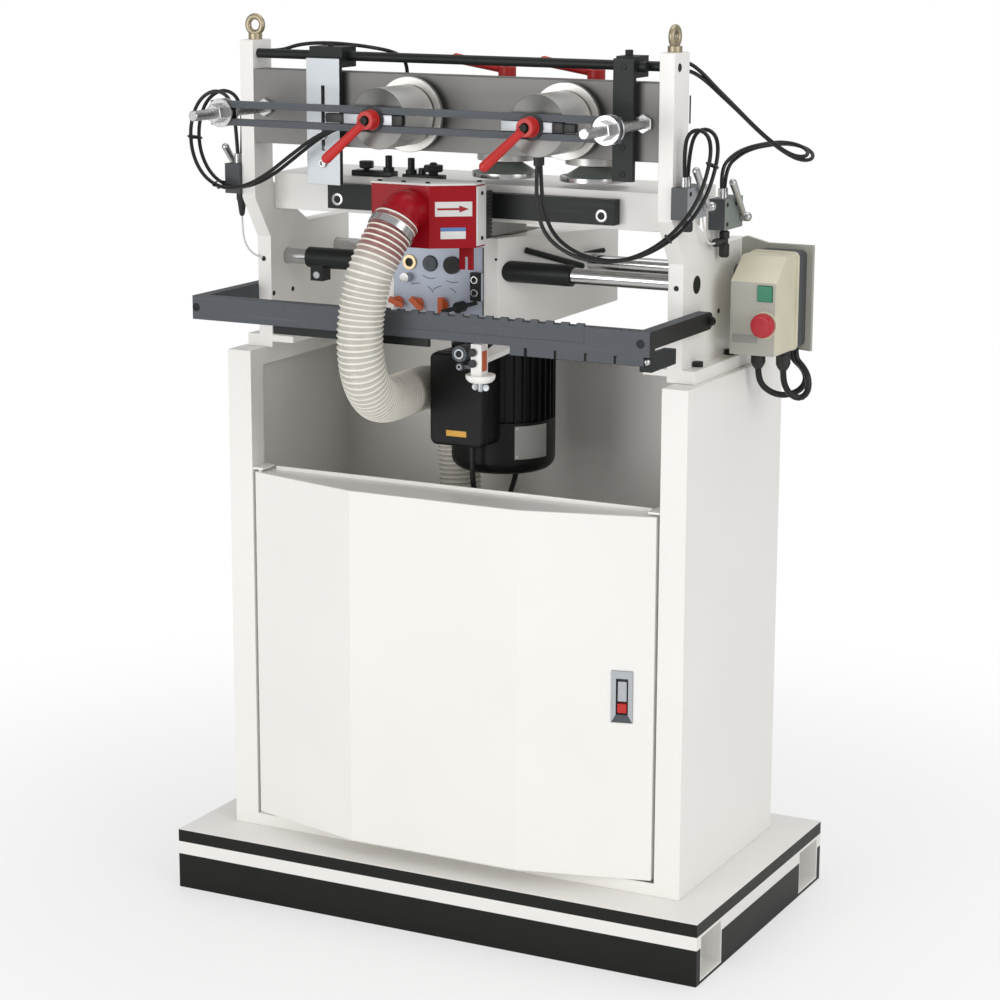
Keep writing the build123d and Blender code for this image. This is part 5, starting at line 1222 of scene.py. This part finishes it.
class TubesBuild(bpy.types.Operator):
    """Air tubes of the clamps and valves, with their ties"""

    bl_idname = "dovetail.tubes"
    bl_label = "Air tubes"

    def execute(self, context):
        radius = sizes().tube_radius
        for side, route, start, end, tie_shares in (
            ("left", LEFT_ROUTE, (-0.3, -0.25, 1.25), (-0.13, -0.25, 1.25), (0.5, 0.66)),
            ("right", RIGHT_ROUTE, (0.37, -0.28, 1.2), (0.215, -0.28, 1.2), (0.52, 0.74)),
        ):
            node = f"air_tube_{side}"
            bend = ("frame", f"front_cylinder_{side}", start, end)
            path = laid_cord(f"{node}_1", node, spread(route, 0), radius, bend)
            for number, share in enumerate(tie_shares):
                tie(f"tie_{side}_{number + 1}", path, share)
            laid_cord(f"{node}_2", node, [point + PITCH for point in spread(route, 1)], radius, bend)
        laid_cord("air_tube_side_1", "air_tubes_rear", spread(SIDE_ROUTE, 0), radius)
        laid_cord("air_tube_side_2", "air_tubes_rear", spread(side_second(), 1), radius)
        laid_cord("air_tube_top", "air_tubes_rear", TOP_ROUTE, radius)
        return {"FINISHED"}


class LeadsBuild(bpy.types.Operator):
    """Switch cords and the motor's lead"""

    bl_idname = "dovetail.leads"
    bl_label = "Leads"

    def execute(self, context):
        laid_cord("switch_cord_1", "switch_cords", CORD_1, sizes().cord_radius)
        laid_cord("switch_cord_2", "switch_cords", CORD_2, sizes().cord_radius)
        bend = ("carriage", "head", (-0.017, 0.1, 0.75), (0.01, -0.11, 0.75))
        laid_cord("motor_lead", "motor_cord", LEAD_ROUTE, sizes().lead_radius, bend)
        return {"FINISHED"}


class BaseBuild(bpy.types.Operator):
    """Banded fork-lift base"""

    bl_idname = "dovetail.base"
    bl_label = "Base"

    def execute(self, context):
        pocket_y = 212
        pocket_half = 40.5
        pocket_low = 7
        pocket_high = 80

        def in_pocket(p, n):
            inside = abs(abs(p.y) - pocket_y) < pocket_half and pocket_low < p.z < pocket_high
            return inside and abs(n.x) < 0.5

        rules = [("white_paint", in_pocket), ("base_paint", None)]
        dressed("pallet_base", "fork_base", "frame", rules, 0.001)
        return {"FINISHED"}


class CabinetBuild(bpy.types.Operator):
    """Cabinet shell"""

    bl_idname = "dovetail.cabinet"
    bl_label = "Cabinet"

    def execute(self, context):
        dressed("cabinet_shell", "cabinet", "frame", "white_paint", sizes().sheet_edge * 0.8)
        return {"FINISHED"}


class DoorBuild(bpy.types.Operator):
    """Bowed door with its lip, latch and button"""

    bl_idname = "dovetail.door"
    bl_label = "Door"

    def execute(self, context):
        dressed("door_panel", "door", "door", "white_paint", sizes().sheet_edge, 40, 10)
        block("door_lip")
        facet = Vector((220, 55, 0))
        facet_end = Vector((371, -190, 427))
        latch_x = 313
        latch = facet_end - facet * (facet_end.x - latch_x) / facet.x
        along = facet.normalized()
        out = along.cross(UP)

        blade_half = 7.4
        blade_low = -9
        blade_high = 25
        blade_depth = 6.9

        def blade(p, n):
            q = p - latch
            inside = abs(q.dot(along)) < blade_half and blade_low < q.z < blade_high
            return inside and q.dot(out) > -blade_depth

        def proud(p, n):
            return (p - latch).dot(out) > 0.1

        rules = [("zinc_plate", blade), ("switch_plate", proud), ("dark_steel", None)]
        dressed("latch_plate", "latch", "door", rules, 0.0003)
        dressed("latch_button", "latch_push", "latch_button", "red_plastic", 0.0008)
        return {"FINISHED"}


class PlatesBuild(bpy.types.Operator):
    """Side plates, lifting eyes, bolts and set screws"""

    bl_idname = "dovetail.plates"
    bl_label = "Side plates"

    def execute(self, context):
        edge = sizes().sheet_edge
        dressed("side_plate_left", "plate_left", "frame", "white_paint", edge)
        bracket_x = 381
        bracket_y = 86.5
        rules = [("switch_plate", lambda p, n: p.y > bracket_y and p.x > bracket_x), ("white_paint", None)]
        dressed("side_plate_right", "plate_right", "frame", rules, edge)
        eye_foot = 1390
        rules = [("yellow_zinc", lambda p, n: p.z > eye_foot), ("black_steel", None)]
        fasteners = dressed("frame_fasteners", "eyes_and_bolts", "frame", rules, sizes().small_edge, 50, 40)
        right_eye = Matrix.Translation(mm(365.5, -160, 0))
        turn = right_eye @ Matrix.Rotation(math.radians(90), 4, "Z") @ right_eye.inverted()
        for vertex in fasteners.data.vertices:
            if vertex.co.x > 0.3 and vertex.co.z > eye_foot / 1000:
                vertex.co = turn @ vertex.co
        screws("bolt_sockets", "set_screws")
        group("shaft_ends", "frame", "black_steel", rounds("shaft_end", *outward(PLATE_FACE, -90, 1063)))
        screws("rod_ends")
        block("column_slot")
        return {"FINISHED"}


class BeamBuild(bpy.types.Operator):
    """Clamp beam, stop rod and the two edge stops"""

    bl_idname = "dovetail.beam"
    bl_label = "Beam"

    def execute(self, context):
        edge = sizes().steel_edge
        rod_low = 1380
        stop_back = -195.5
        stop_top = 1391
        rules = [("black_steel", lambda p, n: p.z > rod_low), ("ground_steel", None)]
        dressed("clamp_beam", "beam", "frame", rules, edge)
        rules = [("black_steel", lambda p, n: p.y > stop_back or p.z > stop_top), ("zinc_plate", None)]
        dressed("left_edge_stop", "stop_left", "left_edge_stop", rules, edge)
        dressed("right_edge_stop", "stop_right", "right_edge_stop", "black_steel", edge)
        screws("stop_left_screws", "stop_left_cap", "stop_right_screws", "stop_right_cap")
        return {"FINISHED"}


class FrontClampBuild(bpy.types.Operator):
    """Studs, slotted bar, front cylinders, pads and locking levers"""

    bl_idname = "dovetail.front_clamp"
    bl_label = "Front clamp"

    def execute(self, context):
        studs, nuts, thin_nuts, washers = [], [], [], []
        washer = TURNED["washer"][-1][1]
        stud_tip = -400
        rim_radius = 47.2
        guide_back = -303.5
        hub_front = -324.5
        for x in (-STUD_X, STUD_X):
            studs.append(((x, stud_tip, CLAMP_Z), BACK))
            washers += [((x, BAR_FRONT, CLAMP_Z), FRONT), ((x, BAR_BACK, CLAMP_Z), BACK)]
            nuts.append(((x, BAR_FRONT - washer, CLAMP_Z), FRONT, 8))
            nuts.append(((x, BAR_BACK + washer, CLAMP_Z), BACK, 20))
            thin_nuts.append(((x, BEAM_FRONT, CLAMP_Z), FRONT))
        replaced = ["front_clamp_studs"]
        group("clamp_studs", "frame", "thread", rounds("stud", *studs), nodes=replaced)
        nuts = rounds("nut", *nuts) + rounds("thin_nut", *thin_nuts) + rounds("washer", *washers)
        group("clamp_nuts", "frame", "chrome", nuts, nodes=replaced)
        dressed("front_clamp_bar", "clamp_bar", "frame", "dark_steel", sizes().steel_edge)
        for label, x in FRONT_X.items():
            def on_rim(p, n, x=x):
                return math.hypot(p.x - x, p.z - CLAMP_Z) > rim_radius

            rules = [
                ("black_plastic", on_rim),
                ("black_steel", lambda p, n: p.y < guide_back),
                (f"face_front_{label}", lambda p, n: n.y < -0.8),
                (f"spun_front_{label}", None),
            ]
            body = f"front_cylinder_{label}"
            dressed(body, f"cylinder_front_{label}", body, rules, 0.0012)
            pad = f"front_pad_{label}"
            dressed(pad, f"pad_front_{label}", pad, "turned_y", 0.001)
            lever = f"front_lever_{label}"
            rules = [("black_plastic", lambda p, n: p.y > hub_front), ("red_plastic", None)]
            dressed(lever, f"lever_front_{label}", lever, rules, 0.0014)
            screw_set(f"lever_screw_{label}", lever, "black_steel", 5.4, 2.2, ((x, -346, CLAMP_Z), FRONT))
            slide = slab((x - 50, -320.4, CLAMP_Z - 7.6), (x + 34, -309.6, CLAMP_Z + 7.6), 0.8)
            group(f"slot_slide_{label}", body, "zinc_plate", [slide])
            end = slab((x + 34, -321.6, CLAMP_Z - 7.8), (x + 52, -309.6, CLAMP_Z + 7.8), 1.6)
            group(f"slot_end_{label}", body, "black_plastic", [end])
            low, high = (x - 82, x - 50) if label == "left" else (x + 52, x + 72)
            fitting = slab((low, -322, CLAMP_Z - 7), (high, -310, CLAMP_Z + 7), 2.4)
            group(f"slot_fitting_{label}", body, "black_plastic", [fitting])
        return {"FINISHED"}


class RearClampBuild(bpy.types.Operator):
    """Rear bar, cylinders, pads and levers"""

    bl_idname = "dovetail.rear_clamp"
    bl_label = "Rear clamp"

    def execute(self, context):
        cap_low = 1344.5
        pad_low = 1222
        pad_high = 1236.5
        hub_top = 1365.5
        dressed("rear_clamp_frame", "rear_bar", "frame", "dark_steel", sizes().steel_edge)
        for label in REAR_X:
            body = f"rear_cylinder_{label}"
            rules = [("black_steel", lambda p, n: p.z > cap_low), (f"spun_rear_{label}", None)]
            dressed(body, f"cylinder_rear_{label}", body, rules, 0.0012)
            pad = f"rear_pad_{label}"
            rules = [("chrome", lambda p, n: not pad_low <= p.z <= pad_high), ("valve_grey", None)]
            dressed(pad, f"pad_rear_{label}", pad, rules, 0.001)
            lever = f"rear_lever_{label}"
            rules = [("black_plastic", lambda p, n: p.z < hub_top), ("red_plastic", None)]
            dressed(lever, f"lever_rear_{label}", lever, rules, 0.0014)
        return {"FINISHED"}


class TableBuild(bpy.types.Operator):
    """Work table, its dark front bar and stop blocks"""

    bl_idname = "dovetail.table"
    bl_label = "Work table"

    def execute(self, context):
        dressed("work_table", "table", "frame", "white_paint", sizes().sheet_edge)
        bar = dressed("table_front_bar", "table_bar", "frame", "black_steel", sizes().steel_edge)
        bar_top = 1200
        trimmed(bar, lambda p: p.z < bar_top)
        middle = -110
        half = 11
        foot = 1204
        left_top = 1213
        right_top = 1211
        stops = []
        for left, right, top in ((-213, -139, left_top), (-120, -51, right_top)):
            stops.append(slab((left, middle - half, foot), (right, middle + half, top), 1.2))
        stops += rounds("stop_post", *facing(UP, (-150, middle, left_top), (-109, middle, right_top)))
        group("table_stops", "frame", "black_steel", stops)
        knobs = rounds("stop_grip", ((-191, middle, left_top), UP))
        knobs += rounds("stop_nub", ((-91, middle + 3, right_top), UP))
        knobs += rounds("stop_star", ((-69, middle, right_top), UP))
        group("stop_knobs", "frame", "black_plastic", knobs, 20)
        group("bar_rings", "frame", "chrome", rounds("bar_ring", *facing(FRONT, *BAR_HOLES)))
        screws("bar_screws")
        return {"FINISHED"}


class CarriageBuild(bpy.types.Operator):
    """Guide shafts, carriage, sleeves and cross rods"""

    bl_idname = "dovetail.carriage"
    bl_label = "Carriage"

    def execute(self, context):
        dressed("guide_shafts", "shafts", "frame", "chrome_x", 0.001)
        dressed("carriage_casting", "carriage_body", "carriage", "white_paint", sizes().sheet_edge)
        dressed("carriage_sleeves", "sleeves", "carriage", "black_steel", 0.0012)
        dressed("cross_rods", "cross_bars", "carriage", "chrome", 0)
        rods = rounds("side_rod", ((73.4, -65, 1094.7), (50.4, 105.5, -34.7)))
        rods += rounds("side_rod_tip", ((124.6, 42, 1082.6), (17.2, 39.5, -0.2)))
        group("side_rods", "carriage", "black_steel", rods)
        screws("carriage_dot", "sleeve_screw")
        return {"FINISHED"}


class PanelBuild(bpy.types.Operator):
    """Carriage front panel with its fittings, selectors and lever"""

    bl_idname = "dovetail.front_panel"
    bl_label = "Front panel"

    def execute(self, context):
        def near(x, z, radius):
            return lambda p, n: p.y < PANEL_FACE and math.hypot(p.x - x, p.z - z) < radius

        rules = [
            ("brass", near(BRASS_X, DIAL_Z, 12.5)),
            ("black_steel", near(DISC_X, DIAL_Z, 13.5)),
            ("black_plastic", near(PLUG_X, DIAL_Z, 14.5)),
            ("chrome", near(-113, 1046, 8.5)),
            ("black_steel", lambda p, n: p.y < PANEL_FACE),
            ("panel_face", None),
        ]
        dressed("control_panel", "panel", "carriage", rules, sizes().small_edge)
        for label in ("left", "middle", "right"):
            node = f"selector_knob_{label}"
            dressed(node, f"selector_{label}", node, "orange_plastic", 0.0006)
        dressed("panel_lever", "panel_bar", "panel_lever", "black_steel", 0.0006)
        screws("panel_screws")
        group("panel_collars", "carriage", "chrome", rounds("panel_collar", *facing(FRONT, *PANEL_HOLES)))
        for name, look, model, x, y in (
            ("plug_face", "rubber", "panel_plug", PLUG_X, -120.2),
            ("disc_cap", "dark_steel", "panel_disc", DISC_X, -114.6),
            ("ring_core", "black_steel", "ring_core", BRASS_X, -114),
        ):
            group(name, "carriage", look, rounds(model, ((x, y, DIAL_Z), FRONT)))
        block("panel_seam")
        return {"FINISHED"}


class HeadBuild(bpy.types.Operator):
    """Head, drive and motor"""

    bl_idname = "dovetail.head"
    bl_label = "Head and motor"

    def execute(self, context):
        dressed("head_casting", "head_body", "head", "cast_grey", sizes().steel_edge)
        dressed("drive_belt", "belt", "head", "rubber", 0)
        dressed("motor_pulley", "motor_shaft", "motor_rotor", "ground_steel", 0.0005)
        dressed("spindle", "cutter", "cutter_spindle", "ground_steel", 0.0004)
        dressed("motor_body", "motor", "head", "motor_enamel", 0.0005, 50, 40)
        outline = rounded_outline((-56.8, 783.2), (42.8, 934.8), 12.6, -134.5)
        group("terminal_rim", "head", "motor_enamel", [cut_plate(outline, (0, 2.4, 0), 0.6)])
        block("terminal_tag")
        heading = math.radians(-30)
        plate = bent(slab((-31, 0.05, 757), (31, 0.9, 811), 0.2), FAN_AXIS, FAN_RADIUS, heading)
        group("fan_plate", "head", "cast_grey", [plate])
        rivets = []
        for x in (-27, 27):
            turn = heading - x / FAN_RADIUS
            out = Vector((math.cos(turn), math.sin(turn), 0))
            rivets += [(Vector((*FAN_AXIS, z)) + out * (FAN_RADIUS + 1), out) for z in (761, 807)]
        screw_set("fan_rivets", "head", "chrome", 1.7, 0.7, *rivets)
        return {"FINISHED"}


class HoodBuild(bpy.types.Operator):
    """Chip hood with its cover, arrow plate, side strip and curtain"""

    bl_idname = "dovetail.hood"
    bl_label = "Chip hood"

    def execute(self, context):
        dressed("chip_hood", "hood", "head", "red_paint", 0.0008)
        curtain = dressed("chip_curtain", "curtain", "head", "rubber", 0)
        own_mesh(curtain)
        top = 1212
        corners = ((-91.5, -195.5), (-91.5, -270.6), (10.9, -270.6), (68.6, -228.4), (68.6, -195.5))
        cover = cut_plate([(x, y, top) for x, y in corners], (0, 0, 3), 0.4)
        group("hood_cover", "head", "label_plate", [cover])
        screws("cover_screws")
        block("hood_strip")
        screws("strip_screws")

        facet_start = Vector((10.6, -270, 0))
        along = Vector((57.4, 42, 0)).normalized()
        out = along.cross(UP)

        def facet_plate(name, look, corners, lift, thickness, rounding):
            """Thin plate on the hood's slanting facet; corners give the distance along it and the height."""
            outline = [facet_start + along * run + out * lift + Vector((0, 0, z)) for run, z in corners]
            group(name, "head", look, [cut_plate(outline, out * thickness, rounding)])

        def box(left, low, right, high):
            return ((left, low), (right, low), (right, high), (left, high))

        facet_plate("arrow_plate", "label_plate", box(8.5, 1165, 66, 1187.5), 0, 0.6, 0.15)
        arrow = (
            (12, 1174.7), (46, 1174.7), (46, 1171), (61, 1176.3), (46, 1181.6), (46, 1177.9), (12, 1177.9),
        )
        facet_plate("arrow_mark", "arrow_red", arrow, 0.6, 0.3, 0.08)
        facet_plate("bare_plate_top", "label_blue", box(17, 1142.5, 56, 1148), 0, 0.5, 0.12)
        facet_plate("bare_plate_low", "label_plate", box(17, 1130.5, 56, 1142.3), 0, 0.5, 0.12)
        return {"FINISHED"}


class TemplateBuild(bpy.types.Operator):
    """Template frame, comb and follower"""

    bl_idname = "dovetail.template"
    bl_label = "Template"

    def execute(self, context):
        bar_low = 983
        bar_back = -200
        arm_face = 385
        follower_x = 93.5
        follower_y = -255

        # Black steel for the low strip under the bar; the arms' sides that face +X are made black as painted
        # shade
        def black(p, n):
            return (p.z < bar_low and p.y < bar_back) or (n.x > 0.9 and abs(p.x) > arm_face)

        rules = [("black_steel", black), ("dark_steel", None)]
        dressed("template_frame", "template", "frame", rules, sizes().steel_edge)
        dressed("template_comb", "comb", "frame", "dark_steel", sizes().small_edge)
        rules = [("dark_steel", lambda p, n: p.x < follower_x and p.y < follower_y), ("white_paint", None)]
        dressed("follower_bracket", "follower", "head", rules, 0.0005)
        screws("template_screws")
        balls = rounds("ball", *facing(FRONT, (390, -301, 976), (-253, -290, 976)))
        group("template_balls", "frame", "chrome", balls)
        rings = rounds("bush_ring", (BUSH, FRONT)) + rounds("small_bush_ring", (SMALL_BUSH, FRONT))
        group("bush_rings", "head", "zinc_plate", rings)
        screws("bush_screw", "small_bush_screw")
        knobs = rounds("follower_knob", *facing(FRONT, (98.5, -291, 966), (98.5, -291, 949)))
        group("follower_knobs", "head", "black_plastic", knobs)
        bowl = rounds("bowl", ((FOLLOWER_X, FOLLOWER_Y, 0), UP))
        group("follower_bowl", "head", "white_paint", bowl)
        wings = rounds("wing_stem", ((FOLLOWER_X, FOLLOWER_Y, 918), DOWN))
        lobes = [((FOLLOWER_X + side * 9.2, FOLLOWER_Y, 911), (0.15 * side, -1, 0)) for side in SIDES]
        wings += rounds("wing_lobe", *lobes)
        low = (FOLLOWER_X - 8.5, FOLLOWER_Y - 1.2, 908.6)
        high = (FOLLOWER_X + 8.5, FOLLOWER_Y + 1.2, 914)
        wings.append(slab(low, high, 0.8))
        group("wing_bolt", "head", "zinc_plate", wings)
        block("follower_tag")
        return {"FINISHED"}


class ValvesBuild(bpy.types.Operator):
    """Hand valves and their levers"""

    bl_idname = "dovetail.valves"
    bl_label = "Valves"

    def execute(self, context):
        body_height = 48.5
        half_seam = 394
        side_front = -60
        front_back = -100
        outer_face = 406
        cap_face = 417.6
        foot = VALVE_CORNERS["left"][2]
        side_foot = VALVE_CORNERS["side"][2]

        def fitting(p, n):
            return p.z > (side_foot if p.y > side_front else foot) + body_height

        rules = [
            ("chrome", fitting),
            ("valve_dark", lambda p, n: abs(p.x) < half_seam),
            ("zinc_plate", lambda p, n: p.x > 0 and p.y < front_back),
            ("valve_grey", None),
        ]
        dressed("valve_bodies", "valves", "frame", rules, 0.0008)
        holes = []
        for label, (side, y, z) in VALVE_CORNERS.items():
            node = f"valve_lever_{label}"
            dressed(node, f"lever_valve_{label}", node, "chrome", 0.0006)
            way = (side, 0, 0)
            cap = rounds("lever_cap", ((side * cap_face, y + 64, z + 16), way))
            group(f"lever_cap_{label}", node, "chrome", cap)
            holes += [((side * outer_face, y + dy, z + dz), way) for dy, dz in ((9, 9), (9, 39), (44, 38))]
        screw_set("valve_screws", "frame", "black_steel", 3.6, 0.9, *holes)
        group("valve_knob", "frame", "black_plastic", rounds("valve_knob", ((VALVE_X, -163, foot), DOWN)))
        tee = rounds("tee_stem", ((VALVE_X, TEE_Y, side_foot), DOWN))
        tee += rounds("tee_arm", ((VALVE_X, TEE_Y, side_foot - 19), FRONT))
        group("valve_tee", "frame", "black_plastic", tee)
        pipe_radius = 0.0016
        pipe_rings = 40
        for label, route in PIPE_ROUTES.items():
            path = line_points(route)
            length = travelled(path)[-1]
            rings = [(length * step / pipe_rings, plain(pipe_radius)) for step in range(pipe_rings + 1)]
            group(f"valve_pipe_{label}", "frame", "label_plate", [tube("pipe", path, 12, rings)])
        group("valve_cone", "frame", "black_plastic", rounds("valve_cone", ((-VALVE_X, -167, foot), DOWN)))
        return {"FINISHED"}


class SwitchBuild(bpy.types.Operator):
    """Switch box and its buttons"""

    bl_idname = "dovetail.switch"
    bl_label = "Switch"

    def execute(self, context):
        front = -41.5
        seam = 50.2
        gland_top = 951.9
        rules = [("switch_plate", lambda p, n: n.y < -0.9 and p.y < front), ("beige_plastic", None)]
        case = dressed("switch_box", "switch_case", "frame", rules, 0.0018)
        trimmed(case, lambda p: p.y < seam and p.z > gland_top)
        back = cut_plate(rounded_outline((413, 951), (490, 1103), 9, 50), (0, 37, 0), 1.2)
        group("switch_back", "frame", "valve_dark", [back])
        lip = cut_plate(rounded_outline((410.8, 949.4), (492.2, 1104.8), 9, 42), (0, 8, 0), 1.6)
        group("switch_lip", "frame", "beige_plastic", [lip])
        glands = rounds("gland", *facing(DOWN, (432, 36, 952), (474, 36, 952)))
        group("cord_glands", "frame", "black_plastic", glands, 20)
        group("stop_collar", "frame", "beige_plastic", rounds("stop_collar", ((472, -42, 1001), FRONT)))
        block("switch_tag")
        dressed("start_button", "start_push", "start_button", "green_plastic", 0.001)
        dressed("stop_button", "stop_push", "stop_button", "stop_red", 0.0004)
        return {"FINISHED"}


class DovetailPanel(bpy.types.Panel):
    """Lists the pieces and the values that they use"""

    bl_idname = "VIEW3D_PT_dovetail"
    bl_label = "Dovetail machine"
    bl_space_type = "VIEW_3D"
    bl_region_type = "UI"
    bl_category = "Dovetail machine"

    def draw(self, context):
        for operator in OPERATORS:
            self.layout.operator(operator.bl_idname)
        for values in (colours(), sizes()):
            for key in values.bl_rna.properties.keys():
                if key not in ("rna_type", "name"):
                    self.layout.prop(values, key)


OPERATORS = (
    StageBuild, HoseBuild, TubesBuild, LeadsBuild, BaseBuild, CabinetBuild, DoorBuild, PlatesBuild,
    BeamBuild, FrontClampBuild, RearClampBuild, TableBuild, CarriageBuild, PanelBuild, HeadBuild, HoodBuild,
    TemplateBuild, ValvesBuild, SwitchBuild,
)
CLASSES = (MachineColours, MachineSizes, *OPERATORS, DovetailPanel)


def register():
    for item in CLASSES:
        bpy.utils.register_class(item)
    bpy.types.Scene.machine_colours = PointerProperty(type=MachineColours)
    bpy.types.Scene.machine_sizes = PointerProperty(type=MachineSizes)


def unregister():
    del bpy.types.Scene.machine_sizes
    del bpy.types.Scene.machine_colours
    for item in reversed(CLASSES):
        bpy.utils.unregister_class(item)


def main():
    register()
    bpy.ops.dovetail.stage()
    bpy.ops.dovetail.hose()
    bpy.ops.dovetail.tubes()
    bpy.ops.dovetail.leads()
    bpy.ops.dovetail.base()
    bpy.ops.dovetail.cabinet()
    bpy.ops.dovetail.door()
    bpy.ops.dovetail.plates()
    bpy.ops.dovetail.beam()
    bpy.ops.dovetail.front_clamp()
    bpy.ops.dovetail.rear_clamp()
    bpy.ops.dovetail.table()
    bpy.ops.dovetail.carriage()
    bpy.ops.dovetail.front_panel()
    bpy.ops.dovetail.head()
    bpy.ops.dovetail.hood()
    bpy.ops.dovetail.template()
    bpy.ops.dovetail.valves()
    bpy.ops.dovetail.switch()


if __name__ == "__main__":
    main()
